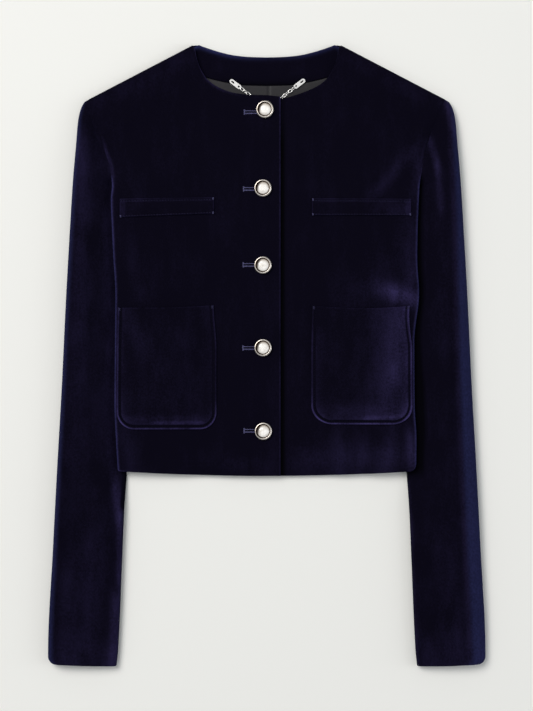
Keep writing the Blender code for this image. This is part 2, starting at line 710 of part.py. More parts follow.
def button(number, place):
    """A domed button: a silver dish with a rolled rim, and a pearl set in it."""
    height = front_top(np.array(-place.x), np.array(place.y), "right") + RESTING
    seat = (place.x, place.y, float(height))
    turned(f"button_rim_{number}", RIM_PROFILE, RIM_PROFILE[-1][1], 0.0, "silver", seat)
    turned(f"button_pearl_{number}", PEARL_PROFILE, PEARL_TOP, PEARL_PROFILE[0][1], "pearl", seat)


def hanger_plate(side):
    """A flat plate with round ends, sewn half on the facing and half over the lining."""
    upper, lower = (np.array(end) for end in PLATES[side])
    middle = (upper + lower) / 2
    turn = math.atan2(*(lower - upper)[::-1])
    radius = PLATE_WIDE / 2
    outline = []
    for end, start in ((1.0, -90.0), (-1.0, 90.0)):
        for step in range(7):
            angle = math.radians(start + 30.0 * step)
            along = end * (PLATE_LONG / 2 - radius) + radius * math.cos(angle)
            outline.append((along, radius * math.sin(angle)))
    count = len(outline)
    points = [(x, y, z) for z in (0.0, PLATE_THICK) for x, y in outline]
    faces = [list(range(count))[::-1], list(range(count, 2 * count))]
    faces += [[k, (k + 1) % count, count + (k + 1) % count, count + k] for k in range(count)]
    name = "hanger_plate_" + side
    thing = add_object(name, mesh_from(name, points, faces, False), "silver")
    base = VELVET + RESTING + POCKET_CLOTH + RESTING
    thing.location = (middle[0] * MM, middle[1] * MM, base * MM)
    thing.rotation_euler = (0.0, 0.0, turn)


def hanger_chain():
    """The slack chain between the plates, as one plain tube along its route."""
    curve = bpy.data.curves.new("hanger_chain", "CURVE")
    curve.dimensions = "3D"
    line = line_points(CHAIN_ROUTE, np.linspace(0.0, 1.0, 15))
    spline = curve.splines.new("POLY")
    spline.points.add(len(line) - 1)
    for point, (x, y) in zip(spline.points, line):
        point.co = (x * MM, y * MM, CHAIN_HEIGHT * MM, 1.0)
    curve.bevel_depth = CHAIN_THICK / 2 * MM
    curve.bevel_resolution = 2
    curve.use_fill_caps = True
    add_object("hanger_chain", curve, "silver")


def build():
    for thing in list(bpy.data.objects):
        bpy.data.objects.remove(thing)
    back()
    for side in ("right", "left"):
        front(side)
        sleeve_panel(side, True)
        sleeve_panel(side, False)
        hanger_plate(side)
    neck_pieces()
    for welt in WELTS:
        chest_welt(welt)
    for pocket in POCKETS:
        patch_pocket(pocket)
    for number, place in enumerate(BUTTONS, 1):
        button(number, place)
    hanger_chain()


build()
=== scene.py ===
"""The looks of a collarless velvet jacket that lies buttoned on its back, seen from straight above.

Sizes are in millimetres, as a tailor measures, and become metres as a mesh is written. Left and right are
the wearer's. Panels are worked out on the left of the middle line, and the right ones are mirrored.
"""

import math
from collections import namedtuple

import bpy
import numpy as np
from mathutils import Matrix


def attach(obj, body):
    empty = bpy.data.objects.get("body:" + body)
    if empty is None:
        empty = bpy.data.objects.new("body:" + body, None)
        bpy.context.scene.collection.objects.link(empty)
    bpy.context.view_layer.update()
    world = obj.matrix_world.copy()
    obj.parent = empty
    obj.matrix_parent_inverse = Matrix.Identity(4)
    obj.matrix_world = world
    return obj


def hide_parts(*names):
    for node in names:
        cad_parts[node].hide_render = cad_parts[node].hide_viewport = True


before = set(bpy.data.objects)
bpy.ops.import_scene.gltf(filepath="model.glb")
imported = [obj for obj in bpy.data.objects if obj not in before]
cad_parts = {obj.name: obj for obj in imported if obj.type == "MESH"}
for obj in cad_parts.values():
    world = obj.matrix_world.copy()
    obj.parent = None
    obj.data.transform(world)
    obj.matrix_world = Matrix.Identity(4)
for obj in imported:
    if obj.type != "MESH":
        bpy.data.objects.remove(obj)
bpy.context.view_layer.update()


# Studio
# A matt paper floor under a broad soft light from the upper left, a weaker one low on the right and an even
# pale surround. The camera hangs straight above the jacket, with the shoulders at the top of the picture.
MM = 0.001
FLOOR_HALF = 9000.0
FLOOR_BELOW = 0.3
FLOOR_COLOUR = (0.815, 0.808, 0.77)
SURROUND_TOP = (0.90, 0.94, 1.0)
SURROUND_SIDE = (0.62, 0.63, 0.64)
SURROUND_STRENGTH = 0.52
KEY_PLACE = (-1750.0, 1500.0, 3300.0)
KEY_SIZE = (2200.0, 2200.0)
KEY_WATTS = 118.0
KEY_COLOUR = (1.0, 0.985, 0.96)
RIM_PLACE = (2600.0, -200.0, 900.0)
RIM_SIZE = (700.0, 2400.0)
RIM_WATTS = 20.0
RIM_COLOUR = (0.92, 0.95, 1.0)
LENS = 100.0
SENSOR = 36.0
CLIP_FROM = 50.0
CLIP_TO = 60000.0
FIELD_TALL = 782.1
FIELD_MIDDLE = (-0.3, -0.55, 8.5)


def link(thing):
    bpy.context.scene.collection.objects.link(thing)
    return thing


def soft_light(name, place, size, watts, colour):
    """An area light of (width, height) that faces the middle of the jacket."""
    light = bpy.data.lights.new(name, "AREA")
    light.shape = "RECTANGLE"
    light.size = size[0] * MM
    light.size_y = size[1] * MM
    light.energy = watts
    light.color = colour
    lamp = link(bpy.data.objects.new(name, light))
    lamp.location = np.array(place) * MM
    lamp.rotation_euler = (-lamp.location).to_track_quat("-Z", "Y").to_euler()


def feed(tree, slot, value):
    """Links an input to another node's output, or sets it to a plain value or an opaque colour."""
    if isinstance(value, bpy.types.NodeSocket):
        tree.links.new(value, slot)
    elif slot.type == "RGBA":
        slot.default_value = (*value, 1.0)
    else:
        slot.default_value = value


def node_by(tree, kind, fed=None, **settings):
    """A new node with its properties set, such as an operation, and its inputs fed by name or number."""
    node = tree.nodes.new(kind)
    for name, value in settings.items():
        setattr(node, name, value)
    for name, value in (fed or {}).items():
        feed(tree, node.inputs[name], value)
    return node


def blend(tree, share, first, second):
    """A colour between two others, as a node's output."""
    fed = {"Factor": share, "A": first, "B": second}
    return node_by(tree, "ShaderNodeMix", fed, data_type="RGBA").outputs["Result"]


def set_shader(material, fed):
    """Feeds the named inputs of a material's Principled shader."""
    shader = material.node_tree.nodes["Principled BSDF"]
    for name, value in fed.items():
        feed(material.node_tree, shader.inputs[name], value)


def new_finish(name, fed):
    """A material with one Principled shader, whose plain inputs are given."""
    material = bpy.data.materials.new(name)
    material.use_nodes = True
    set_shader(material, fed)
    return material


def make_floor():
    corners = [(x * FLOOR_HALF * MM, y * FLOOR_HALF * MM, -FLOOR_BELOW * MM)
               for x, y in ((-1, -1), (1, -1), (1, 1), (-1, 1))]
    mesh = bpy.data.meshes.new("floor")
    mesh.from_pydata(corners, [], [(0, 1, 2, 3)])
    looks = {"Base Color": FLOOR_COLOUR, "Roughness": 0.9, "Specular IOR Level": 0.1}
    mesh.materials.append(new_finish("floor_paper", looks))
    link(bpy.data.objects.new("floor", mesh))


def make_surround():
    """Pale all round, a little brighter and cooler overhead than at the horizon."""
    world = bpy.data.worlds.new("surround")
    world.use_nodes = True
    tree = world.node_tree
    place = node_by(tree, "ShaderNodeTexCoord")
    split = node_by(tree, "ShaderNodeSeparateXYZ", {0: place.outputs["Generated"]})
    sky = tree.nodes["Background"].inputs
    feed(tree, sky["Color"], blend(tree, split.outputs["Z"], SURROUND_SIDE, SURROUND_TOP))
    feed(tree, sky["Strength"], SURROUND_STRENGTH)
    bpy.context.scene.world = world


def hang_camera():
    data = bpy.data.cameras.new("overhead")
    data.lens = LENS
    data.sensor_width = SENSOR
    data.clip_start = CLIP_FROM * MM
    data.clip_end = CLIP_TO * MM
    camera = link(bpy.data.objects.new("overhead", data))
    x, y, z = FIELD_MIDDLE
    camera.location = (x * MM, y * MM, (z + FIELD_TALL * LENS / SENSOR) * MM)
    bpy.context.scene.camera = camera


make_floor()
make_surround()
soft_light("key", KEY_PLACE, KEY_SIZE, KEY_WATTS, KEY_COLOUR)
soft_light("rim", RIM_PLACE, RIM_SIZE, RIM_WATTS, RIM_COLOUR)
hang_camera()
bpy.context.scene.view_settings.view_transform = "Standard"


# Back
# One velvet panel from side seam to side seam, cut in one piece and lying on the floor. Its edges at the
# hem and the neck are turned under. Cotton velvet has a short dense nap that looks black from straight
# above and blue where it leans into the light. Painted sheen where it catches the light, and painted
# shade where it lies in shadow, are kept on each panel.
VELVET = 1.8
SEAM = 0.4
NECK_POINT = (82.0, 341.0)
SHOULDER_POINT = (196.2, 281.5)
BACK_NECK_POINT = (82.5, 340.7)
HEM_MIDDLE = -133.1
HEM_RISE = 4.9
HEM_HALF = 154.0
HEM_CORNER = {"right": 1.5, "left": 7.0}
SLEEVE_LIFT = 6.2
SHOULDER_THICK = 10.4
SIDE_SEAM_RISE = 3.8
FOLD_REACH = 4.5
SHOULDER_REACH = 6.0
BODY_HALF = 167.0
NECK_COLUMN = 72.0
BODY_TALL = 415.0
BACK_STEP = 4.0
EDGE_ROUND = 1.7
HIDDEN_TURN = 0.9

# Where a height or a shade comes in: from start, over a length, negative towards the middle or the hem
Ramp = namedtuple("Ramp", "start length")
LIFT_ACROSS = Ramp(50.0, 98.0)
LIFT_DOWN = Ramp(228.0, -40.0)
SIDE_FOLD = Ramp(200.0, -16.0)

BodyEdge = namedtuple("BodyEdge", "y right left")
BODY_EDGE = (
    BodyEdge(-127.0, 163.8, 164.2),
    BodyEdge(-93.0, 165.8, 164.6),
    BodyEdge(-55.0, 167.4, 162.6),
    BodyEdge(15.0, 166.9, 162.2),
    BodyEdge(68.0, 166.4, 167.4),
    BodyEdge(106.0, 168.6, 165.4),
    BodyEdge(140.0, 170.2, 165.9),
    BodyEdge(172.0, 171.4, 167.2),
    BodyEdge(186.0, 170.2, 168.0),
    BodyEdge(204.0, 172.0, 170.6),
    BodyEdge(222.0, 177.6, 174.2),
    BodyEdge(241.0, 184.2, 179.6),
    BodyEdge(262.0, 190.6, 187.6),
    BodyEdge(281.5, 196.2, 196.2),
)
NeckPoint = namedtuple("NeckPoint", "x y")
BACK_NECK = (
    NeckPoint(0.0, 328.4),
    NeckPoint(19.0, 329.0),
    NeckPoint(36.0, 330.7),
    NeckPoint(51.0, 334.1),
    NeckPoint(61.0, 337.1),
    NeckPoint(68.0, 339.5),
    NeckPoint(72.5, 341.1),
    NeckPoint(76.3, 342.1),
    NeckPoint(79.5, 341.7),
    NeckPoint(*BACK_NECK_POINT),
)
# Colours of the nap: deep where it stands, painted sheen, painted sheen on rolled edges, painted shadow, and
# the tint of the shader's own sheen
NAP_DEEP = (0.0026, 0.0020, 0.0062)
NAP_PAINTED_SHEEN = (0.060, 0.047, 0.160)
NAP_PAINTED_EDGE_SHEEN = (0.044, 0.052, 0.185)
NAP_PAINTED_SHADOW = (0.0004, 0.0004, 0.0005)
SHEEN_TINT = (0.30, 0.36, 1.0)
# Unevenness of the nap, from coarse to fine: its scale, its detail and its stretch along the cloth
NAP_CLOUD = (26.0, 5.0, (1.0, 0.7, 1.0))
NAP_STREAK = (85.0, 3.0, (1.0, 0.3, 1.0))
NAP_SPECKLE = (520.0, 3.0, (1.0, 0.8, 1.0))
LEAST_UNEVEN = 0.15
PILE_TALL = 0.4


def ease(share):
    """0 before 0, 1 after 1, and a smooth step between."""
    share = np.clip(share, 0.0, 1.0)
    return share * share * (3.0 - 2.0 * share)


def roll(share):
    """How far a rolled edge has turned: 1 at the edge itself, 0 one reach inside it."""
    inside = 1.0 - np.clip(share, 0.0, 1.0)
    return 1.0 - np.sqrt(np.clip(1.0 - inside * inside, 0.0, 1.0))


def along(ramp, at):
    return ease((at - ramp.start) / ramp.length)


def mix(first, second, share):
    return first + (second - first) * share


def smooth(rows, at):
    """Reads a short table of (key, value) rows along a curve that passes each row and never overshoots."""
    keys, values = np.array(sorted(rows), float).T
    step = np.diff(keys)
    rise = np.diff(values) / step
    slope = np.concatenate([rise[:1], np.zeros(len(rise) - 1), rise[-1:]])
    product = rise[:-1] * rise[1:]
    total = rise[:-1] + rise[1:]
    slope[1:-1] = np.where(product > 0, 2.0 * product / np.where(product > 0, total, 1.0), 0.0)
    at = np.clip(at, keys[0], keys[-1])
    i = np.clip(np.searchsorted(keys, at) - 1, 0, len(step) - 1)
    t = (at - keys[i]) / step[i]
    start = (1 + 2 * t) * (1 - t) ** 2 * values[i] + t * (1 - t) ** 2 * step[i] * slope[i]
    end = t * t * (3 - 2 * t) * values[i + 1] + t * t * (t - 1) * step[i] * slope[i + 1]
    return start + end


def column(rows, key, name):
    """One column of a table as (key, value) rows."""
    return [(getattr(row, key), getattr(row, name)) for row in rows]


def body_edge(y, side):
    """Distance from the middle to the side fold, and above the underarm to the armhole seam."""
    return smooth(column(BODY_EDGE, "y", side), y)


def shoulder_line(x):
    slope = (SHOULDER_POINT[1] - NECK_POINT[1]) / (SHOULDER_POINT[0] - NECK_POINT[0])
    return NECK_POINT[1] + slope * (x - NECK_POINT[0])


SHOULDER_TILT = math.atan2(NECK_POINT[1] - SHOULDER_POINT[1], SHOULDER_POINT[0] - NECK_POINT[0])
SHOULDER_OUT = (math.sin(SHOULDER_TILT), math.cos(SHOULDER_TILT), 0.0)


def shoulder_distance(x, y):
    return (shoulder_line(x) - y) * math.cos(SHOULDER_TILT)


def lift(x, y):
    """How far the sleeves under its sides raise the body from the floor."""
    return SLEEVE_LIFT * along(LIFT_ACROSS, x) * along(LIFT_DOWN, y)


def fold_share(y):
    """1 where the body's edge is a side fold, 0 where it is sewn to the sleeve."""
    return along(SIDE_FOLD, y)


def seam_height(x, y):
    return lift(x, y) + SIDE_SEAM_RISE


def to_shoulder(height, x, y, half_seam):
    """A panel's height, rolled over to its side of the shoulder seam."""
    return mix(height, SHOULDER_THICK / 2 + half_seam, roll(shoulder_distance(x, y) / SHOULDER_REACH))


def to_side_fold(height, x, y, side, half_seam):
    """A body panel's height, rolled over to its side of the seam in the side fold."""
    edge = body_edge(y, side)
    return mix(height, seam_height(edge, y) + half_seam, fold_share(y) * roll((edge - x) / FOLD_REACH))


def back_low(x, y, side):
    """Underside of the back, over the right or the left sleeve."""
    return to_shoulder(to_side_fold(lift(x, y), x, y, side, -SEAM / 2), x, y, -SEAM / 2)


def hem(x, side):
    """Lower edge of the body, with its corner at the side fold rounded off."""
    corner = HEM_CORNER[side]
    edge = BODY_EDGE[0].right if side == "right" else BODY_EDGE[0].left
    past = np.clip((np.abs(x) - (edge - corner)) / corner, 0.0, 1.0)
    return HEM_MIDDLE + HEM_RISE * (x / HEM_HALF) ** 2 + corner * (1.0 - np.sqrt(1.0 - past * past))


def neck_and_shoulder(neck, neck_share, share):
    """Top edge of a panel: the neckline up to neck_share of the width, then the straight shoulder."""
    share = np.asarray(share, float)
    x = mix(neck[0].x, neck[-1].x, np.clip(share / neck_share, 0.0, 1.0))
    curve = np.stack([x, smooth(neck, x)], axis=-1)
    out = np.clip((share - neck_share) / (1.0 - neck_share), 0.0, 1.0)[:, None]
    line = np.array(neck[-1]) * (1.0 - out) + np.array(SHOULDER_POINT) * out
    return np.where((share <= neck_share)[:, None], curve, line)


def plan(top, inner, side, across, up):
    """Plan points [up, across] of half a body panel, blended from its four edges."""
    u = np.asarray(across, float)
    v = np.asarray(up, float)
    edge_low = body_edge(BODY_EDGE[0].y, side)
    low_x = mix(inner, edge_low, u)
    low = np.stack([low_x, hem(low_x, side)], axis=-1)
    high = top(u)
    first = mix(low[0], high[0], v[:, None])
    last_y = mix(low[-1, 1], high[-1, 1], v)
    last = np.stack([body_edge(last_y, side), last_y], axis=-1)
    u = u[None, :, None]
    v = v[:, None, None]
    between_ends = mix(low[None], high[None], v)
    between_sides = mix(first[:, None], last[:, None], u)
    corners = mix(mix(low[0], low[-1], u), mix(high[0], high[-1], u), v)
    return between_ends + between_sides - corners


EDGE_STEPS = (0.0, 0.1, 0.3, 0.6, 1.0, 1.5, 2.1, 2.8)
SHOULDER_STEPS = (*EDGE_STEPS, 3.8, 4.9, 6.2, 8.0)
FOLD_STEPS = (0.0, 0.05, 0.18, 0.4, 0.7, 1.1, 1.6, 2.2, 2.9, 3.7, 4.6, 5.8)


def spaced(start, end, step, start_steps, end_steps):
    """Places from start to end a step apart, closer together towards its ends as the given steps say."""
    first = [start + s for s in start_steps]
    last = [end - s for s in end_steps]
    count = max(2, round((last[-1] - first[-1]) / step) + 1)
    return np.unique(np.concatenate([first, np.linspace(first[-1], last[-1], count), last]))


def unit(vectors):
    return vectors / np.linalg.norm(vectors, axis=-1, keepdims=True)


def slopes(points, axis):
    """Direction of a grid along one axis, halfway between its two neighbours."""
    steps = unit(np.diff(points, axis=axis))
    first = np.take(steps, [0], axis=axis)
    last = np.take(steps, [-1], axis=axis)
    return np.concatenate([first, steps], axis=axis) + np.concatenate([steps, last], axis=axis)


def normals_of(points, upward):
    """Unit normals of a grid [up, across], on the side that is given as up or down."""
    normals = unit(np.cross(slopes(points, 1), slopes(points, 0)))
    wrong_way = (normals[..., 2:] < 0) == upward
    return np.where(wrong_way, -normals, normals)


def lean(across, upright):
    """Normals between pointing straight out across the garment (0) and straight up or down (1)."""
    upright = np.asarray(upright, float)[:, None]
    return unit(np.asarray(across) * (1.0 - np.abs(upright)) + np.array((0.0, 0.0, 1.0)) * upright)


def with_height(flat, height):
    return np.concatenate([flat, height[..., None]], axis=-1)


def from_edge(points, row=None, across=None):
    """How far each point of a grid lies from the end of its own column or row."""
    edge = points[[row]] if row is not None else points[:, [across]]
    return np.linalg.norm(points - edge, axis=-1)


def cloth_piece(name, points, normals, thick, free, painted_sheen_and_shade, edge_light, side, material):
    """A cloth panel as a closed wall: the face that shows, the face behind it, and round turned edges.

    free is each point's distance from the nearest turned edge. The next argument says how much sheen is
    painted on the nap there, or how much shade if negative. edge_light says how much sheen is painted where
    the cloth leans over an edge."""
    mirror = np.array((-1.0 if side == "right" else 1.0, 1.0, 1.0))
    turned_in = thick / 2 * roll(free / EDGE_ROUND)[..., None]
    shown = ((points - normals * turned_in) * mirror).reshape(-1, 3)
    hidden = ((points - normals * (thick - HIDDEN_TURN * turned_in)) * mirror).reshape(-1, 3)
    rows, columns = points.shape[:2]
    behind = rows * columns
    at = np.arange(behind).reshape(rows, columns)
    cells = np.stack([at[:-1, :-1], at[:-1, 1:], at[1:, 1:], at[1:, :-1]], axis=-1).reshape(-1, 4)
    loop = np.concatenate([at[0, :-1], at[:-1, -1], at[-1, :0:-1], at[:0:-1, 0]])
    after = np.roll(loop, -1)
    rim = np.stack([after, loop, loop + behind, after + behind], axis=-1)
    faces = np.concatenate([cells, cells[:, ::-1] + behind, rim])
    middle = cells[len(cells) // 2]
    facing = np.cross(shown[middle[2]] - shown[middle[0]], shown[middle[3]] - shown[middle[1]])
    if facing @ (normals.reshape(-1, 3)[middle[0]] * mirror) < 0:
        faces = faces[:, ::-1]
    mesh = bpy.data.meshes.new(name)
    mesh.from_pydata((np.concatenate([shown, hidden]) * MM).tolist(), [], faces.tolist())
    mesh.shade_smooth()
    # Painted sheen and shade on the nap, and painted sheen on rolled edges, kept as point attributes
    for attribute, values in (("painted_sheen_and_shade", painted_sheen_and_shade), ("edge_light", edge_light)):
        values = np.broadcast_to(values, free.shape).astype(np.float32).ravel()
        mesh.attributes.new(attribute, "FLOAT", "POINT").data.foreach_set("value", np.tile(values, 2))
    mesh.materials.append(material)
    return link(bpy.data.objects.new(name, mesh))


def socket(tree, name, kind, way, value=None):
    made = tree.interface.new_socket(name=name, in_out=way, socket_type=kind)
    if value is not None:
        made.default_value = value


def noise(tree, scale, detail, stretch=(1.0, 1.0, 1.0)):
    """Noise over the object's own coordinates, drawn out along an axis by a stretch below 1."""
    place = node_by(tree, "ShaderNodeTexCoord").outputs["Object"]
    turn = node_by(tree, "ShaderNodeMapping", {"Vector": place, "Scale": stretch}).outputs["Vector"]
    fed = {"Vector": turn, "Scale": scale, "Detail": detail}
    return node_by(tree, "ShaderNodeTexNoise", fed).outputs["Fac"]


def math_of(tree, operation, *values):
    """One sum, product or the like of values and outputs, as a node's output."""
    return node_by(tree, "ShaderNodeMath", dict(enumerate(values)), operation=operation).outputs[0]


def bump(tree, height, strength, tall):
    """Normals of a fine relief that is tall millimetres high."""
    fed = {"Height": height, "Strength": strength, "Distance": tall * MM}
    return node_by(tree, "ShaderNodeBump", fed).outputs["Normal"]


def nap_group():
    """How velvet's nap looks over a surface: deep where it stands, with painted sheen, painted edge sheen and
    painted shadow as its attributes say.
    """
    tree = bpy.data.node_groups.new("velvet_nap", "ShaderNodeTree")
    for name in ("Deep", "Painted_sheen", "Edge"):
        socket(tree, name, "NodeSocketColor", "INPUT")
    for name in ("Cloud", "Speckle"):
        socket(tree, name, "NodeSocketFloat", "INPUT", 0.03)
    socket(tree, "Colour", "NodeSocketColor", "OUTPUT")
    socket(tree, "Pile", "NodeSocketFloat", "OUTPUT")
    given = tree.nodes.new("NodeGroupInput").outputs
    cloud, streak, speckle = (math_of(tree, "SUBTRACT", noise(tree, *field), 0.5)
                              for field in (NAP_CLOUD, NAP_STREAK, NAP_SPECKLE))
    painted_sheen_and_shade, edge = (node_by(tree, "ShaderNodeAttribute", attribute_name=name).outputs["Fac"]
                     for name in ("painted_sheen_and_shade", "edge_light"))
    uneven = 1.0
    for field, strength in ((cloud, 1.6), (streak, 1.3), (speckle, 1.5)):
        uneven = math_of(tree, "MULTIPLY_ADD", field, strength, uneven)
    shade = math_of(tree, "MULTIPLY", painted_sheen_and_shade, math_of(tree, "MAXIMUM", uneven, LEAST_UNEVEN))
    shade = math_of(tree, "MULTIPLY_ADD", math_of(tree, "ADD", cloud, streak), given["Cloud"], shade)
    shade = math_of(tree, "MULTIPLY_ADD", speckle, given["Speckle"], shade)
    # Painted sheen on rolled edges, broken up by the speckle; painted sheen where the attribute is above 0
    # and painted shadow where it is below
    sheen_on_edges = math_of(tree, "MULTIPLY", edge, math_of(tree, "MULTIPLY_ADD", speckle, 1.4, 1.0))
    painted_shadow_share = math_of(tree, "MULTIPLY", painted_sheen_and_shade, -1.0)
    colour = blend(tree, math_of(tree, "MAXIMUM", shade, 0.0), given["Deep"], given["Painted_sheen"])
    colour = blend(tree, sheen_on_edges, colour, given["Edge"])
    colour = blend(tree, painted_shadow_share, colour, NAP_PAINTED_SHADOW)
    pile = math_of(tree, "MULTIPLY_ADD", streak, 0.5, speckle)
    node_by(tree, "NodeGroupOutput", {"Colour": colour, "Pile": pile})
    return tree


NAP = nap_group()


def velvet_finish(name, cloud, speckle):
    """Velvet: the nap's deep colour with painted sheen and shade, a soft blue sheen at a slant, and the pile
    as a fine bump.
    """
    material = new_finish(name, {"Roughness": 0.92, "Specular IOR Level": 0.02, "Sheen Weight": 0.05,
                                 "Sheen Roughness": 0.35, "Sheen Tint": SHEEN_TINT})
    tree = material.node_tree
    shades = {"Deep": NAP_DEEP, "Painted_sheen": NAP_PAINTED_SHEEN, "Edge": NAP_PAINTED_EDGE_SHEEN, "Cloud": cloud, "Speckle": speckle}
    nap = node_by(tree, "ShaderNodeGroup", shades, node_tree=NAP)
    pile = bump(tree, nap.outputs["Pile"], 0.5, PILE_TALL)
    set_shader(material, {"Base Color": nap.outputs["Colour"], "Normal": pile})
    return material


VELVET_BODY = velvet_finish("velvet_body", 0.045, 0.055)


def fit(piece, node=None):
    """Puts a piece on the one body, and lets it stand in for a solid if it has one."""
    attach(piece, "root")
    if node:
        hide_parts(node)


def laid(piece, node):
    """Fits a cloth piece in place of its solid."""
    fit(piece, node)


def body_rows(step):
    """Shares of a body panel's height, closer together at the hem and the shoulder."""
    return spaced(0.0, BODY_TALL, step, EDGE_STEPS, SHOULDER_STEPS) / BODY_TALL


def body_columns(inner, step, edge_steps):
    """Distances across a body panel from its inner edge, with a column where neck and shoulder meet."""
    neck = spaced(inner, NECK_COLUMN, step, edge_steps, (0.0,))
    return np.concatenate([neck, spaced(NECK_COLUMN, BODY_HALF, step, (0.0,), FOLD_STEPS)[1:]])


def make_back():
    across = body_columns(0.0, BACK_STEP, (0.0,)) / BODY_HALF
    neck_share = NECK_COLUMN / BODY_HALF
    on_shoulder = across >= neck_share - 1e-6
    up = body_rows(BACK_STEP)
    halves = []
    for side in ("right", "left"):
        flat = plan(lambda u: neck_and_shoulder(BACK_NECK, neck_share, u), 0.0, side, across, up)
        points = with_height(flat, back_low(flat[..., 0], flat[..., 1], side))
        normals = normals_of(points, False)
        normals[:, -1] = lean((1.0, 0.0, 0.0), fold_share(points[:, -1, 1]) - 1.0)
        normals[:, 0] = (0.0, 0.0, -1.0)
        normals[-1, on_shoulder] = SHOULDER_OUT
        from_neck = np.where(on_shoulder, np.inf, from_edge(points, row=-1))
        free = np.minimum(from_edge(points, row=0), from_neck)
        halves.append((points, normals, free))
    mirror = np.array((-1.0, 1.0, 1.0))
    right, left = halves
    points = np.concatenate([right[0][:, :0:-1] * mirror, left[0]], axis=1)
    normals = np.concatenate([right[1][:, :0:-1] * mirror, left[1]], axis=1)
    free = np.concatenate([right[2][:, :0:-1], left[2]], axis=1)
    piece = cloth_piece("back", points, normals, VELVET, free, 0.0, 0.0, "left", VELVET_BODY)
    laid(piece, "back")


make_back()


# Neck facing and lining
# The back neck is faced inside with a strip of the same velvet. Grey satin lining is sewn to its lower
# edge, with a pleat pressed into it a little left of the middle for ease. Only its upper strip shows.
THIN_VELVET = 1.6
LINING = 1.0
RESTING = 0.45
FACING_FROM_SHOULDER = 3.2
LINING_LOWER = 262.0
PLEAT_AT = 2.6
PLEAT_DEEP = 0.4
PLEAT_WIDE = 0.9
NECK_STEP = 1.6
FACING_TALL = 30.0
FACING_STEP = 1.5
LINING_TALL = 35.0
LINING_STEP = 1.2
FACING_LOWER = (
    NeckPoint(0.0, 297.2),
    NeckPoint(25.0, 297.9),
    NeckPoint(43.0, 300.6),
    NeckPoint(57.0, 303.6),
    NeckPoint(82.0, 311.0),
)
LINING_DARK = (0.005, 0.0045, 0.0054)
LINING_PALE = (0.0162, 0.0148, 0.0172)
# Painted sheen along the back neck's rolled edge, and painted shadow on the facing along its lower edge
NECK_RIM_LIGHT = {"right": 0.34, "left": 0.2}
NECK_RIM_REACH = 3.2
NECK_RIM_LEAST = 0.35
NECK_RIM_ACROSS = Ramp(0.0, 60.0)
FACING_SHADE = 0.55
FACING_SHADE_REACH = 4.5
FACING_SHADE_ACROSS = Ramp(62.0, -30.0)


def lining_finish():
    """Grey satin: fine crosswise threads, a soft gloss and cloudy wear."""
    material = new_finish("grey_satin", {"Roughness": 0.42, "Specular IOR Level": 0.22, "Sheen Weight": 0.04})
    tree = material.node_tree
    threads = noise(tree, 900.0, 2.0, (0.25, 1.0, 1.0))
    shade = math_of(tree, "MULTIPLY_ADD", threads, 0.35, noise(tree, 55.0, 2.0))
    set_shader(material, {"Base Color": blend(tree, shade, LINING_DARK, LINING_PALE),
                          "Normal": bump(tree, threads, 0.25, 0.15)})
    return material


def glow(distance, reach):
    """1 on a line and fading beside it, from the distance to it."""
    return np.exp(-((distance / reach) ** 2))


def strip_rows(tall, step):
    """Shares of a strip's height, a step apart and closer together towards its long edges."""
    return spaced(0.0, tall, step, EDGE_STEPS, EDGE_STEPS) / tall


def from_long_edges(points):
    """Distance of each point of a strip from the nearer one of its lower and upper edges."""
    return np.minimum(from_edge(points, row=0), from_edge(points, row=-1))


def inside_back(low, high, x, rows, thick):
    """Points of a piece that lies inside the back between two lines across it."""
    y = mix(low, high, rows[:, None])
    flat = np.stack([np.broadcast_to(x, y.shape), y], axis=-1)
    height = back_low(np.abs(flat[..., 0]), y, "left") + VELVET + RESTING + thick
    return with_height(flat, height)


def make_neck_inside():
    half = FACING_LOWER[-1].x
    x = spaced(-half, half, NECK_STEP, EDGE_STEPS, EDGE_STEPS)[None, :]
    out = np.abs(x)
    low = smooth(FACING_LOWER, out)
    neck = np.minimum(smooth(BACK_NECK, out) - SEAM, shoulder_line(out) - FACING_FROM_SHOULDER)
    points = inside_back(low, neck, x, strip_rows(FACING_TALL, FACING_STEP), THIN_VELVET)
    # Painted sheen along the upper, rolled edge, and painted shadow along the lower edge
    strength = np.where(x < 0.0, NECK_RIM_LIGHT["right"], NECK_RIM_LIGHT["left"])
    strength = strength * mix(NECK_RIM_LEAST, 1.0, along(NECK_RIM_ACROSS, out))
    rim = strength * glow(from_edge(points, row=-1), NECK_RIM_REACH)
    shade = glow(from_edge(points, row=0), FACING_SHADE_REACH) * along(FACING_SHADE_ACROSS, out)
    facing = cloth_piece("back_neck_facing", points, normals_of(points, True), THIN_VELVET,
                         from_long_edges(points), -FACING_SHADE * shade, rim, "left", VELVET_BODY)
    laid(facing, "back_neck_facing")
    lining_low = np.full_like(low, LINING_LOWER)
    points = inside_back(lining_low, low - SEAM, x, strip_rows(LINING_TALL, LINING_STEP), LINING)
    points[..., 2] -= PLEAT_DEEP * glow(points[..., 0] - PLEAT_AT, PLEAT_WIDE)
    lining = cloth_piece("back_lining", points, normals_of(points, True), LINING,
                         from_long_edges(points), 0.0, 0.0, "left", lining_finish())
    laid(lining, "back_lining")


make_neck_inside()


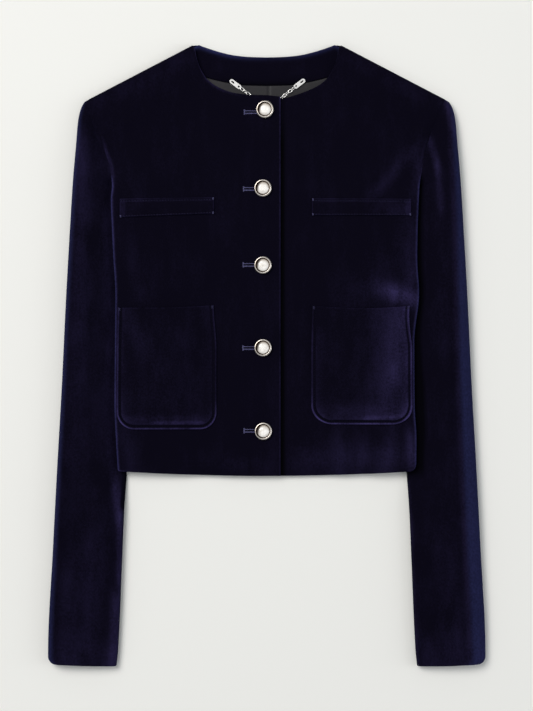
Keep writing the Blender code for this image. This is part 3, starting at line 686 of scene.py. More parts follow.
# Hanger chain
# A short metal chain to hang the jacket by. A punched plate at each end is sewn to the facing, and the
# slack chain of oval wire links between them lies in a loop that dips behind the fronts.
PLATE_LONG = 15.0
PLATE_WIDE = 5.0
PLATE_THICK = 1.2
PLATE_EDGE = 0.2
PLATE_HOLE = 1.05
PLATE_SLOT = (4.2, 1.5)
PLATE_SLOT_AT = -0.24
PLATE_HOLE_AT = 0.3
PLATES = {"right": ((-40.6, 303.0), (-28.3, 293.7)), "left": ((41.7, 303.3), (30.3, 294.5))}
CHAIN_HEIGHT = 5.0
CHAIN_POINTS = 60
CHAIN_ROUTE = (
    (-27.0, 292.7),
    (-22.5, 289.2),
    (-17.9, 286.0),
    (-11.5, 280.0),
    (-4.0, 275.2),
    (3.5, 274.6),
    (10.5, 278.0),
    (15.7, 282.6),
    (22.5, 288.3),
    (29.0, 293.4),
)
LINK_LONG = 5.8
LINK_WIDE = 3.9
LINK_WIRE = 0.95
LINK_SIDES = 22
WIRE_SIDES = 8
LINK_PITCH = 3.95
LINK_FLAT = math.radians(-10.0)
LINK_TWIST = math.radians(66.0)
SHARP_FROM = math.radians(50.0)
SILVER_PALE = (0.96, 0.94, 0.91)
SILVER_DULL = (0.66, 0.63, 0.60)


def map_range(tree, value, start, end, low=0.0, high=1.0):
    """A value spread from low at its start to high at its end."""
    fed = {"Value": value, "From Min": start, "From Max": end, "To Min": low, "To Max": high}
    return node_by(tree, "ShaderNodeMapRange", fed).outputs["Result"]


def silver_finish():
    """Plated metal: bright, with a little tarnish in clouds and fine rubbing marks."""
    material = new_finish("silver_plate", {"Metallic": 0.7})
    tree = material.node_tree
    tarnish = noise(tree, 260.0, 4.0)
    patchy = map_range(tree, tarnish, 0.45, 0.85)
    set_shader(material, {"Base Color": blend(tree, patchy, SILVER_PALE, SILVER_DULL),
                          "Roughness": map_range(tree, tarnish, 0.0, 1.0, 0.14, 0.34)})
    return material


SILVER = silver_finish()


def mesh_object(name, mesh, material):
    """An object for a finished mesh, with smooth faces and sharp edges where it turns steeply."""
    mesh.materials.clear()
    mesh.materials.append(material)
    mesh.shade_smooth()
    mesh.set_sharp_from_angle(angle=SHARP_FROM)
    return link(bpy.data.objects.new(name, mesh))


def round_ended(long, wide, centre):
    """Outline of a slot: two half circles of 10 steps, on the plate's own axis."""
    turns = np.radians(np.linspace(-90.0, 90.0, 11))
    reach = long / 2 - wide / 2
    right = np.stack([centre + reach + wide / 2 * np.cos(turns), wide / 2 * np.sin(turns)], axis=-1)
    left = np.stack([centre - reach - wide / 2 * np.cos(turns), -wide / 2 * np.sin(turns)], axis=-1)
    return np.concatenate([right, left])


def make_plate(side):
    upper, lower = (np.array(end) for end in PLATES[side])
    curve = bpy.data.curves.new("plate_outline", "CURVE")
    curve.dimensions = "2D"
    curve.fill_mode = "BOTH"
    curve.extrude = (PLATE_THICK / 2 - PLATE_EDGE) * MM
    curve.bevel_depth = PLATE_EDGE * MM
    curve.bevel_resolution = 2
    inset = PLATE_EDGE
    slot_long, slot_wide = PLATE_SLOT
    hole = 2.0 * PLATE_HOLE + 2 * inset
    outlines = (
        round_ended(PLATE_LONG - 2 * inset, PLATE_WIDE - 2 * inset, 0.0),
        round_ended(slot_long + 2 * inset, slot_wide + 2 * inset, PLATE_LONG * PLATE_SLOT_AT),
        round_ended(hole + 0.01, hole, PLATE_LONG * PLATE_HOLE_AT),
    )
    for outline in outlines:
        spline = curve.splines.new("POLY")
        spline.points.add(len(outline) - 1)
        spline.use_cyclic_u = True
        for point, (x, y) in zip(spline.points, outline):
            point.co = (x * MM, y * MM, 0.0, 1.0)
    flat = bpy.data.objects.new("plate_outline", curve)
    mesh = bpy.data.meshes.new_from_object(flat)
    bpy.data.objects.remove(flat)
    places = np.array([vertex.co for vertex in mesh.vertices])
    turn = math.atan2(*(lower - upper)[::-1])
    spin = np.array(((math.cos(turn), -math.sin(turn)), (math.sin(turn), math.cos(turn))))
    places[:, :2] = places[:, :2] @ spin.T + (upper + lower) / 2 * MM
    places[:, 2] += (VELVET + 2 * RESTING + THIN_VELVET + PLATE_THICK / 2) * MM
    mesh.vertices.foreach_set("co", places.astype(np.float32).ravel())
    plate = mesh_object("hanger_plate_" + side, mesh, SILVER)
    fit(plate, "hanger_plate_" + side)


def line_points(points, share):
    """Points at shares of the length of a smooth line through the given points."""
    points = np.array(points, float)
    run = np.concatenate([[0.0], np.cumsum(np.linalg.norm(np.diff(points, axis=0), axis=1))])
    at = np.asarray(share) * run[-1]
    return np.stack([smooth(list(zip(run, points[:, k])), at) for k in range(points.shape[1])], axis=-1)


def path_object(name, lines):
    """A mesh of bare edges, one chain for each line of points, for Geometry Nodes to follow."""
    points = [tuple(point * MM) for line in lines for point in np.asarray(line)]
    edges = []
    start = 0
    for line in lines:
        edges += [(start + k, start + k + 1) for k in range(len(line) - 1)]
        start += len(line)
    mesh = bpy.data.meshes.new(name)
    mesh.from_pydata(points, edges, [])
    return link(bpy.data.objects.new(name, mesh))


def grown(path, tree, values, name):
    """Runs a Geometry Nodes tree on a path with its named inputs set, and keeps the plain mesh."""
    modifier = path.modifiers.new("grow", "NODES")
    modifier.node_group = tree
    for item in tree.interface.items_tree:
        if item.item_type == "SOCKET" and item.in_out == "INPUT" and item.name in values:
            modifier[item.identifier] = values[item.name]
    bpy.context.view_layer.update()
    evaluated = path.evaluated_get(bpy.context.evaluated_depsgraph_get())
    mesh = bpy.data.meshes.new_from_object(evaluated)
    mesh.name = name
    path.modifiers.remove(modifier)
    bpy.data.objects.remove(path)
    return mesh


def along_path(tree, given):
    """Points along a path at the tree's Spacing, and the rotation whose X axis follows the path."""
    line = node_by(tree, "GeometryNodeMeshToCurve", {"Mesh": given["Geometry"]}).outputs["Curve"]
    fed = {"Curve": line, "Length": given["Spacing"]}
    steps = node_by(tree, "GeometryNodeResampleCurve", fed, mode="LENGTH")
    tangent = node_by(tree, "GeometryNodeInputTangent").outputs["Tangent"]
    aim = node_by(tree, "FunctionNodeAlignRotationToVector", {"Vector": tangent}, axis="X")
    return steps.outputs["Curve"], aim.outputs["Rotation"]


def turned_about(tree, rotation, axis, angle):
    """A rotation turned about one of its own axes by an angle."""
    by = node_by(tree, "FunctionNodeAxisAngleToRotation", {"Axis": axis, "Angle": angle})
    fed = {"Rotation": rotation, "Rotate By": by.outputs["Rotation"]}
    return node_by(tree, "FunctionNodeRotateRotation", fed, rotation_space="LOCAL").outputs["Rotation"]


def scaled(tree, shape, sizes):
    """A shape of unit size scaled to the given sizes along its axes."""
    scale = node_by(tree, "ShaderNodeCombineXYZ", sizes).outputs[0]
    return node_by(tree, "GeometryNodeTransform", {"Geometry": shape, "Scale": scale}).outputs["Geometry"]


def place_and_finish(tree, given, points, shape, rotation):
    """Puts a shape on each point, makes it real geometry and gives it the tree's Finish."""
    fed = {"Points": points, "Instance": shape, "Rotation": rotation}
    copies = node_by(tree, "GeometryNodeInstanceOnPoints", fed).outputs["Instances"]
    real = node_by(tree, "GeometryNodeRealizeInstances", {"Geometry": copies}).outputs["Geometry"]
    finish = node_by(tree, "GeometryNodeSetMaterial", {"Geometry": real, "Material": given["Finish"]})
    node_by(tree, "NodeGroupOutput", {"Geometry": finish.outputs["Geometry"]})


def path_tree(name, sizes):
    """A Geometry Nodes tree with a path, a Finish and the named sizes as its inputs."""
    tree = bpy.data.node_groups.new(name, "GeometryNodeTree")
    socket(tree, "Geometry", "NodeSocketGeometry", "INPUT")
    for size in sizes:
        socket(tree, size, "NodeSocketFloat", "INPUT", 0.001)
    socket(tree, "Finish", "NodeSocketMaterial", "INPUT")
    socket(tree, "Geometry", "NodeSocketGeometry", "OUTPUT")
    return tree, tree.nodes.new("NodeGroupInput").outputs


def circle(tree, sides, radius):
    """A round curve of straight sides, for a link or the wire that it is bent from."""
    fed = {"Resolution": sides, "Radius": radius}
    return node_by(tree, "GeometryNodeCurvePrimitiveCircle", fed, mode="RADIUS").outputs["Curve"]


def chain_tree():
    """Oval wire links along a path, lying flat and on edge by turns."""
    tree, given = path_tree("chain_links", ("Spacing", "Long", "Wide", "Wire", "Flat", "Twist"))
    points, rotation = along_path(tree, given)
    long, wide = (math_of(tree, "SUBTRACT", given[size], given["Wire"]) for size in ("Long", "Wide"))
    oval = scaled(tree, circle(tree, LINK_SIDES, 0.5), {"X": long, "Y": wide})
    wire = circle(tree, WIRE_SIDES, math_of(tree, "MULTIPLY", given["Wire"], 0.5))
    tube = node_by(tree, "GeometryNodeCurveToMesh", {"Curve": oval, "Profile Curve": wire}).outputs["Mesh"]
    number = node_by(tree, "GeometryNodeInputIndex").outputs["Index"]
    every_other = math_of(tree, "MODULO", number, 2.0)
    angle = math_of(tree, "MULTIPLY_ADD", every_other, given["Twist"], given["Flat"])
    twisted = turned_about(tree, rotation, (1.0, 0.0, 0.0), angle)
    place_and_finish(tree, given, points, tube, twisted)
    return tree


def make_chain():
    line = line_points(CHAIN_ROUTE, np.linspace(0.0, 1.0, CHAIN_POINTS))
    line = np.concatenate([line, np.full((len(line), 1), CHAIN_HEIGHT)], axis=1)
    sizes = {"Spacing": LINK_PITCH * MM, "Long": LINK_LONG * MM, "Wide": LINK_WIDE * MM,
             "Wire": LINK_WIRE * MM, "Flat": LINK_FLAT, "Twist": LINK_TWIST, "Finish": SILVER}
    mesh = grown(path_object("chain_path", [line]), chain_tree(), sizes, "hanger_chain_links")
    chain = mesh_object("hanger_chain_links", mesh, SILVER)
    fit(chain, "hanger_chain")


for side in ("right", "left"):
    make_plate(side)
make_chain()


# Fronts
# Two velvet fronts, the right one lapped over the left along the closing edge. Each turns under at the
# neck, the closing edge and the hem, rolls back at the side fold and is sewn to its sleeve above it.
BODY_THICK = 7.0
CLOSING_EDGE = 15.1
UNDERLAP = 19.0
NECK_RAISE = 1.6
OVERLAP_RAISE = 2.3
SHOULDER_BAND = Ramp(64.0, -54.0)
NECK_UP = Ramp(225.0, 50.0)
NECK_ACROSS = Ramp(70.0, -50.0)
OVERLAP_ACROSS = Ramp(72.0, -46.0)
FOLDS_INSIDE_EDGE = Ramp(0.0, 12.0)
ARMHOLE_DIP = 0.4
ARMHOLE_DIP_REACH = 2.0
PUCKER = 0.22
PUCKER_LONG = 10.5
PUCKER_REACH = 7.0
WAVE = 0.22
FRONT_STEP = 2.0
# Painted sheen along the side fold, the closing edge, the neck, the hem and the armhole, and painted shadow
# on the left front under the right front's closing edge
SIDE_LIGHT = 0.26
SIDE_LIGHT_REACH = 1.3
SIDE_SHEEN = 0.2
SIDE_SHEEN_IN = 0.9
EDGE_REACH = 1.0
CLOSING_LIGHT = 0.26
CLOSING_LIGHT_LEAST = 0.45
CLOSING_LIGHT_UP = Ramp(60.0, 220.0)
CLOSING_SHADE = 0.9
CLOSING_SHADE_LEAST = 0.4
CLOSING_SHADE_DOWN = Ramp(268.0, -40.0)
UNDER_CLOSING = Ramp(21.5, -4.0)
NECK_LIGHT = {"right": 0.13, "left": 0.02}
NECK_LIGHT_REACH = {"right": 2.4, "left": 1.0}
NECK_LIGHT_ACROSS = Ramp(20.0, 40.0)
HEM_LIGHT = 0.04
HEM_CORNER_LIGHT = {"right": 0.3, "left": 0.12}
HEM_CORNER_REACH = 9.0
ARMHOLE_LIGHT = {"right": 0.06, "left": 0.04}
ARMHOLE_LIGHT_IN = 2.6
ARMHOLE_LIGHT_REACH = 1.5
ARMHOLE_LIGHT_DOWN = Ramp(252.0, -40.0)
# The start of each front's neckline, from its closing edge
NECK_START = {
    "right": (
        NeckPoint(-CLOSING_EDGE, 284.0),
        NeckPoint(-2.0, 285.5),
        NeckPoint(18.0, 286.2),
        NeckPoint(36.0, 288.3),
    ),
    "left": (
        NeckPoint(-UNDERLAP, 281.4),
        NeckPoint(10.0, 281.6),
        NeckPoint(20.0, 282.8),
        NeckPoint(30.0, 285.6),
    ),
}
FRONT_NECK = (
    NeckPoint(54.0, 295.0),
    NeckPoint(65.0, 303.0),
    NeckPoint(71.3, 312.0),
    NeckPoint(76.2, 323.0),
    NeckPoint(78.4, 332.0),
    NeckPoint(79.9, 337.5),
    NeckPoint(*NECK_POINT),
)
# A soft stroke along a line on a panel: a fold, or painted sheen where the nap catches the light
Stroke = namedtuple("Stroke", "x0 y0 x1 y1 width height")
NAP_FADE = 2.6
# The largest folds and the lesser creases: ridges, or troughs where the height is negative
FRONT_FOLDS = {
    "right": (
        Stroke(170.0, 236.0, 128.0, 186.0, 16.0, 1.2),
        Stroke(96.0, -132.0, 98.0, -98.0, 13.0, 0.9),
        Stroke(118.0, 110.0, 78.0, 92.0, 18.0, 0.8),
        Stroke(165.0, 208.0, 142.0, 182.0, 5.0, 0.45),
        Stroke(151.0, 130.0, 146.0, 84.0, 8.0, 0.5),
        Stroke(130.0, 122.0, 121.0, 74.0, 8.0, -0.4),
        Stroke(48.0, -132.0, 51.0, -102.0, 7.0, 0.4),
        Stroke(74.0, -132.0, 77.0, -108.0, 5.5, -0.3),
        Stroke(126.0, -131.0, 123.0, -106.0, 7.0, -0.35),
        Stroke(150.0, -130.0, 147.0, -100.0, 6.0, 0.4),
        Stroke(62.0, 232.0, 66.0, 128.0, 14.0, 0.3),
    ),
    "left": (
        Stroke(176.0, 250.0, 122.0, 181.0, 14.0, 1.7),
        Stroke(160.0, 204.0, 118.0, 168.0, 12.0, -1.0),
        Stroke(132.0, 72.0, 156.0, 62.0, 15.0, 1.3),
        Stroke(82.0, -132.0, 84.0, -88.0, 11.0, 1.4),
        Stroke(104.0, -132.0, 102.0, -96.0, 10.0, -0.9),
        Stroke(131.0, -132.0, 128.0, -92.0, 12.0, 1.2),
        Stroke(168.0, 222.0, 142.0, 190.0, 4.5, 0.5),
        Stroke(158.0, 150.0, 118.0, 130.0, 9.0, 0.5),
        Stroke(154.0, 118.0, 104.0, 90.0, 9.0, 0.55),
        Stroke(148.0, 88.0, 110.0, 66.0, 7.0, -0.5),
        Stroke(66.0, -132.0, 67.0, -106.0, 5.0, -0.35),
        Stroke(116.0, -132.0, 114.0, -102.0, 5.0, 0.4),
        Stroke(147.0, -130.0, 143.0, -102.0, 5.0, -0.4),
        Stroke(38.0, 226.0, 44.0, 118.0, 12.0, 0.35),
        Stroke(34.0, 62.0, 32.0, -84.0, 9.0, 0.3),
    ),
}
# Painted sheen on the fronts, in strokes
FRONT_SHEEN_STROKES = {
    "right": (
        Stroke(178.0, 228.0, 170.0, 186.0, 1.8, 0.1),
        Stroke(142.0, 100.0, 138.0, 68.0, 9.0, 0.02),
        Stroke(44.0, -118.0, 20.0, -122.0, 12.0, 0.025),
        Stroke(152.0, -96.0, 148.0, -124.0, 9.0, 0.03),
        Stroke(98.0, 322.0, 176.0, 282.0, 10.0, 0.02),
    ),
    "left": (
        Stroke(154.0, 218.0, 123.0, 183.0, 7.0, 0.055),
        Stroke(165.0, 210.0, 163.0, 182.0, 5.0, 0.05),
        Stroke(172.0, 205.0, 168.0, 176.0, 1.8, 0.2),
        Stroke(163.0, 62.0, 142.0, 68.0, 9.0, 0.23),
        Stroke(160.0, 84.0, 150.0, 72.0, 8.0, 0.06),
        Stroke(156.0, 134.0, 158.0, 104.0, 10.0, 0.035),
        Stroke(150.0, 112.0, 112.0, 78.0, 20.0, 0.02),
        Stroke(70.0, -114.0, 156.0, -112.0, 16.0, 0.05),
        Stroke(80.0, -96.0, 79.0, -126.0, 8.0, 0.04),
        Stroke(103.0, -100.0, 102.0, -126.0, 7.0, 0.025),
        Stroke(135.0, -96.0, 130.0, -126.0, 10.0, 0.05),
        Stroke(157.0, -92.0, 160.0, -126.0, 4.5, 0.13),
        Stroke(96.0, 322.0, 184.0, 276.0, 8.0, 0.015),
    ),
}


def strokes(rows, x, y, fade=1.0):
    """What strokes add at a place of their panel: full on their lines and fading beside them.

    Past its ends a stroke fades over its width times fade."""
    total = np.zeros(np.broadcast(x, y).shape)
    for stroke in rows:
        length = math.hypot(stroke.x1 - stroke.x0, stroke.y1 - stroke.y0)
        run_x = (stroke.x1 - stroke.x0) / length
        run_y = (stroke.y1 - stroke.y0) / length
        t = (x - stroke.x0) * run_x + (y - stroke.y0) * run_y
        off = (y - stroke.y0) * run_x - (x - stroke.x0) * run_y
        past = np.maximum(np.maximum(-t, t - length), 0.0)
        end = past / (stroke.width * fade)
        total = total + stroke.height * np.exp(-((off / stroke.width) ** 2) - end**2)
    return total


def waves(x, y):
    """The slow, slight unevenness of cloth that has been laid out and patted flat."""
    first = np.sin(x / 17.0 + 1.3 * np.sin(y / 41.0)) * np.sin(y / 29.0 + 0.9 * np.sin(x / 37.0))
    second = np.sin(x / 8.3 + y / 23.0 + 2.1) * np.sin(y / 13.0 - x / 31.0)
    return WAVE * (first + 0.45 * second)


def front_plain(x, y, side):
    """Top of a front, before it rolls over at the side and the shoulder."""
    height = BODY_THICK + lift(x, y)
    height = height + (SHOULDER_THICK - BODY_THICK) * along(SHOULDER_BAND, shoulder_distance(x, y))
    height = height + NECK_RAISE * along(NECK_UP, y) * along(NECK_ACROSS, x)
    if side == "right":
        height = height + OVERLAP_RAISE * along(OVERLAP_ACROSS, x)
    inside = along(FOLDS_INSIDE_EDGE, body_edge(y, side) - x)
    return height + strokes(FRONT_FOLDS[side], x, y) * inside


def armhole_dip(off, y, sewn):
    """The dip of an armhole seam, and the small puckers that its stitches draw beside it."""
    dip = -ARMHOLE_DIP * glow(off, ARMHOLE_DIP_REACH)
    ripple = PUCKER * np.sin(y * 2.0 * math.pi / PUCKER_LONG) * glow(off, PUCKER_REACH)
    return (dip + ripple * ease(off / 2.0)) * sewn


def front_top(x, y, side):
    """Top of a front as it lies, with its slight waves, its puckers and its rolled edges."""
    height = front_plain(x, y, side)
    edge = body_edge(y, side)
    height = height + waves(x, y) * along(FOLDS_INSIDE_EDGE, edge - x)
    height = height + armhole_dip(edge - x, y, 1.0 - fold_share(y))
    return to_shoulder(to_side_fold(height, x, y, side, SEAM / 2), x, y, SEAM / 2)


def make_front(side):
    inner = -CLOSING_EDGE if side == "right" else -UNDERLAP
    across = (body_columns(inner, FRONT_STEP, EDGE_STEPS) - inner) / (BODY_HALF - inner)
    neck_share = (NECK_COLUMN - inner) / (BODY_HALF - inner)
    neck = NECK_START[side] + FRONT_NECK
    up = body_rows(FRONT_STEP)
    flat = plan(lambda u: neck_and_shoulder(neck, neck_share, u), inner, side, across, up)
    points = with_height(flat, front_top(flat[..., 0], flat[..., 1], side))
    normals = normals_of(points, True)
    on_shoulder = across >= neck_share - 1e-6
    normals[:, -1] = lean((1.0, 0.0, 0.0), 1.0 - fold_share(points[:, -1, 1]))
    normals[-1, on_shoulder] = SHOULDER_OUT
    x, y = points[..., 0], points[..., 1]
    from_hem = from_edge(points, row=0)
    from_closing = from_edge(points, across=0)
    from_neck = np.where(on_shoulder, np.inf, from_edge(points, row=-1))
    from_side = body_edge(y, side) - x
    free = np.minimum(np.minimum(from_hem, from_closing), from_neck)
    sewn = 1.0 - fold_share(y)
    # Painted sheen along the edges and in strokes, and on the left front painted shadow under the lapped
    # closing edge
    neck_light = NECK_LIGHT[side] * along(NECK_LIGHT_ACROSS, x)
    closing_light = CLOSING_LIGHT * mix(CLOSING_LIGHT_LEAST, 1.0, along(CLOSING_LIGHT_UP, y))
    hem_light = HEM_LIGHT + HEM_CORNER_LIGHT[side] * glow(from_side, HEM_CORNER_REACH)
    armhole_light = ARMHOLE_LIGHT[side] * sewn * along(ARMHOLE_LIGHT_DOWN, y)
    painted_sheen_and_shade = hem_light * glow(from_hem, EDGE_REACH)
    painted_sheen_and_shade = painted_sheen_and_shade + neck_light * glow(from_neck, NECK_LIGHT_REACH[side])
    painted_sheen_and_shade = painted_sheen_and_shade + closing_light * glow(from_closing, EDGE_REACH)
    painted_sheen_and_shade = painted_sheen_and_shade + armhole_light * glow(from_side - ARMHOLE_LIGHT_IN, ARMHOLE_LIGHT_REACH)
    painted_sheen_and_shade = painted_sheen_and_shade + SIDE_SHEEN * glow(from_side - SIDE_SHEEN_IN, SIDE_LIGHT_REACH) * fold_share(y)
    painted_sheen_and_shade = painted_sheen_and_shade + strokes(FRONT_SHEEN_STROKES[side], x, y, NAP_FADE)
    if side == "left":
        shade = CLOSING_SHADE * mix(CLOSING_SHADE_LEAST, 1.0, along(CLOSING_SHADE_DOWN, y))
        painted_sheen_and_shade = painted_sheen_and_shade - shade * along(UNDER_CLOSING, x)
    side_light = SIDE_LIGHT * glow(from_side, SIDE_LIGHT_REACH) * fold_share(y)
    name = "front_" + side
    piece = cloth_piece(name, points, normals, VELVET, free, painted_sheen_and_shade, side_light, side, VELVET_BODY)
    laid(piece, name)


for side in ("right", "left"):
    make_front(side)


# Sleeves
# Each sleeve is two velvet panels, a top and an under one, joined along its inner and outer lines and
# sewn into the armhole. They lie straight beside the body, which covers their inner edges.
SLEEVE_TOP = (281.1, 278.2)
CUFF = (-342.4, -340.2)
CUFF_CORNER = (8.0, 9.0)
UNDERARM = 186.0
ARMHOLE_SEAM = 0.05
SWELL_FROM_EDGE = 1.5
WIDEST_ROLL = {"outer": 0.55, "inner": 0.3, "underarm": 0.4}
UNDERARM_REACH = 18.0
ARMHOLE = Ramp(184.0, 18.0)
TUCKED_UNDER_BODY = Ramp(-166.0, 30.0)
SLEEVE_LONG = 620.0
# Spacing of a panel's rows, and how many columns it has
SleeveGrid = namedtuple("SleeveGrid", "step columns")
SLEEVE_GRIDS = {"top": SleeveGrid(2.4, 54), "under": SleeveGrid(5.0, 30)}
EdgePoint = namedtuple("EdgePoint", "y x")
SLEEVE_OUTER = (
    EdgePoint(278.3, 201.0),
    EdgePoint(272.0, 204.4),
    EdgePoint(258.5, 207.6),
    EdgePoint(232.0, 209.8),
    EdgePoint(192.0, 213.2),
    EdgePoint(140.0, 216.4),
    EdgePoint(60.0, 220.9),
    EdgePoint(-32.0, 225.3),
    EdgePoint(-129.0, 230.8),
    EdgePoint(-214.0, 235.2),
    EdgePoint(-319.0, 240.6),
    EdgePoint(-342.4, 240.8),
)
SLEEVE_INNER = (
    EdgePoint(172.0, 160.0),
    EdgePoint(158.0, 154.0),
    EdgePoint(120.0, 150.0),
    EdgePoint(0.0, 149.0),
    EdgePoint(-100.0, 152.0),
    EdgePoint(-129.0, 154.2),
    EdgePoint(-173.0, 157.0),
    EdgePoint(-225.0, 159.2),
    EdgePoint(-325.0, 163.7),
    EdgePoint(-342.4, 165.5),
)
SleeveSection = namedtuple("SleeveSection", "y thick inner_thick roll_right roll_left")
SLEEVE_SECTIONS = (
    SleeveSection(278.0, 10.4, 5.7, 5.0, 5.0),
    SleeveSection(262.0, 13.0, 5.7, 6.5, 6.0),
    SleeveSection(238.0, 15.5, 5.7, 7.5, 6.5),
    SleeveSection(200.0, 17.0, 5.7, 8.0, 8.0),
    SleeveSection(60.0, 17.5, 5.7, 7.5, 10.5),
    SleeveSection(-134.0, 17.5, 5.7, 7.5, 15.0),
    SleeveSection(-176.0, 18.0, 12.5, 8.0, 17.0),
    SleeveSection(-250.0, 17.0, 13.0, 8.0, 15.5),
    SleeveSection(-342.4, 14.5, 11.5, 7.0, 13.5),
)
# The band along the outer line where sheen is painted for nap that leans over into the light
OuterBand = namedtuple("OuterBand", "y right left")
OUTER_BANDS = (
    OuterBand(278.0, 2.0, 2.0),
    OuterBand(240.0, 3.4, 5.0),
    OuterBand(140.0, 3.8, 7.5),
    OuterBand(60.0, 3.6, 10.5),
    OuterBand(-176.0, 4.2, 14.5),
    OuterBand(-300.0, 4.6, 15.0),
    OuterBand(-342.4, 4.6, 14.0),
)
# Painted sheen in the outer band, at the cuff, over the top panel, beside the band and along the inner line,
# and painted shadow in the valley beside the body
BAND_LIGHT = {"right": 0.2, "left": 0.2}
BAND_FADE = 7.0
CUFF_LIGHT = 0.04
CUFF_SHEEN = {"right": 0.022, "left": 0.04}
CUFF_SHEEN_DOWN = Ramp(-285.0, -45.0)
SLEEVE_SHEEN = {"right": 0.012, "left": 0.006}
BAND_FRINGE = {"right": 0.0, "left": 0.06}
BAND_FRINGE_REACH = 3.0
INNER_LIGHT = 0.05
INNER_LIGHT_IN = 1.0
INNER_LIGHT_REACH = 2.0
INNER_LIGHT_BELOW = HEM_MIDDLE - 6.0
VALLEY_DARK = {"right": 0.0, "left": 0.7}
VALLEY_WIDE = (
    (200.0, 5.0),
    (130.0, 6.5),
    (95.0, 7.5),
    (60.0, 7.5),
    (0.0, 10.0),
    (-50.0, 13.0),
    (-110.0, 10.5),
)
VALLEY_FADE = 4.0
VALLEY_END = Ramp(HEM_MIDDLE - 4.0, 14.0)
SLEEVE_FOLDS = {
    "right": (
        Stroke(203.0, 226.0, 204.0, 70.0, 9.0, 1.2),
        Stroke(196.0, 30.0, 200.0, -90.0, 13.0, -1.2),
        Stroke(180.0, -140.0, 190.0, -240.0, 15.0, 1.1),
        Stroke(186.0, 178.0, 190.0, 96.0, 6.0, -0.6),
        Stroke(182.0, 60.0, 181.0, -40.0, 6.0, 0.5),
        Stroke(212.0, 10.0, 215.0, -120.0, 6.0, 0.5),
        Stroke(200.0, -160.0, 206.0, -262.0, 7.0, -0.5),
        Stroke(176.0, -252.0, 212.0, -264.0, 9.0, 0.45),
        Stroke(186.0, -290.0, 216.0, -306.0, 7.0, -0.35),
    ),
    "left": (
        Stroke(181.0, 238.0, 193.0, 158.0, 9.0, 1.5),
        Stroke(196.0, 120.0, 202.0, -40.0, 13.0, -1.3),
        Stroke(186.0, -150.0, 196.0, -250.0, 14.0, 1.2),
        Stroke(187.0, 224.0, 196.0, 190.0, 4.0, 0.5),
        Stroke(182.0, 140.0, 186.0, 28.0, 7.0, 0.6),
        Stroke(208.0, 92.0, 212.0, -30.0, 6.0, 0.6),
        Stroke(190.0, -12.0, 192.0, -118.0, 8.0, 0.6),
        Stroke(178.0, -236.0, 214.0, -226.0, 8.0, -0.5),
        Stroke(206.0, -188.0, 211.0, -306.0, 7.0, 0.5),
        Stroke(178.0, -300.0, 203.0, -318.0, 7.0, 0.45),
    ),
}
# Painted sheen on the top panels, in strokes, and painted shadow where the height is negative
SLEEVE_SHEEN_STROKES = {
    "right": (
        Stroke(204.0, 228.0, 202.0, 160.0, 8.0, 0.05),
        Stroke(204.0, 119.0, 206.0, 40.0, 9.0, 0.04),
        Stroke(206.0, 20.0, 212.0, -110.0, 8.0, 0.025),
        Stroke(174.0, 150.0, 172.0, -120.0, 6.0, 0.03),
        Stroke(166.0, -146.0, 161.5, -180.0, 4.5, 0.12),
        Stroke(161.5, -180.0, 162.0, -244.0, 3.2, 0.14),
        Stroke(165.0, -272.0, 169.0, -342.0, 5.5, 0.12),
        Stroke(154.5, -131.0, 157.0, -162.0, 2.2, -0.6),
        Stroke(192.0, -222.0, 198.0, -300.0, 14.0, 0.025),
        Stroke(216.0, -250.0, 220.0, -330.0, 9.0, 0.03),
    ),
    "left": (
        Stroke(199.0, 272.0, 206.0, 246.0, 4.0, 0.06),
        Stroke(180.0, 235.0, 187.0, 207.0, 3.5, 0.09),
        Stroke(187.0, 207.0, 191.0, 162.0, 3.5, 0.08),
        Stroke(200.0, 225.0, 207.0, 192.0, 4.0, 0.04),
        Stroke(190.0, 110.0, 196.0, 20.0, 9.0, 0.02),
        Stroke(196.0, -226.0, 203.0, -290.0, 14.0, 0.02),
    ),
}


def arm_share(y):
    """0 where the sleeve is a closed tube, 1 where it is sewn to the armhole."""
    return along(ARMHOLE, y)


def sleeve_section(down, side):
    """The sizes of the sleeve's cross section at a share of its length, from shoulder to cuff."""
    inner_y = mix(SLEEVE_TOP[0], CUFF[0], down)
    outer_y = mix(SLEEVE_TOP[1], CUFF[1], down)
    edge = body_edge(inner_y, side)
    rows = column(SLEEVE_INNER, "y", "x") + [(UNDERARM, body_edge(UNDERARM, side) + ARMHOLE_SEAM)]
    inner = np.where(inner_y >= UNDERARM, edge + ARMHOLE_SEAM, smooth(rows, inner_y))
    corner_x, corner_y = CUFF_CORNER
    past = np.clip((CUFF[1] + corner_y - outer_y) / corner_y, 0.0, 1.0)
    outer = smooth(column(SLEEVE_OUTER, "y", "x"), outer_y) - corner_x * (1.0 - np.sqrt(1.0 - past**2))
    width = outer - inner
    sizes = {"inner": inner, "outer": outer, "inner_y": inner_y, "outer_y": outer_y, "edge": edge}
    sizes["thick"] = smooth(column(SLEEVE_SECTIONS, "y", "thick"), inner_y)
    sizes["inner_thick"] = smooth(column(SLEEVE_SECTIONS, "y", "inner_thick"), inner_y)
    roll_out = smooth(column(SLEEVE_SECTIONS, "y", "roll_" + side), inner_y)
    sizes["roll_out"] = np.minimum(roll_out, WIDEST_ROLL["outer"] * width)
    sizes["roll_in"] = np.minimum(sizes["inner_thick"] / 2, WIDEST_ROLL["inner"] * width)
    sizes["arm"] = arm_share(inner_y)
    sizes["width"] = width
    return {key: value[:, None] for key, value in sizes.items()}


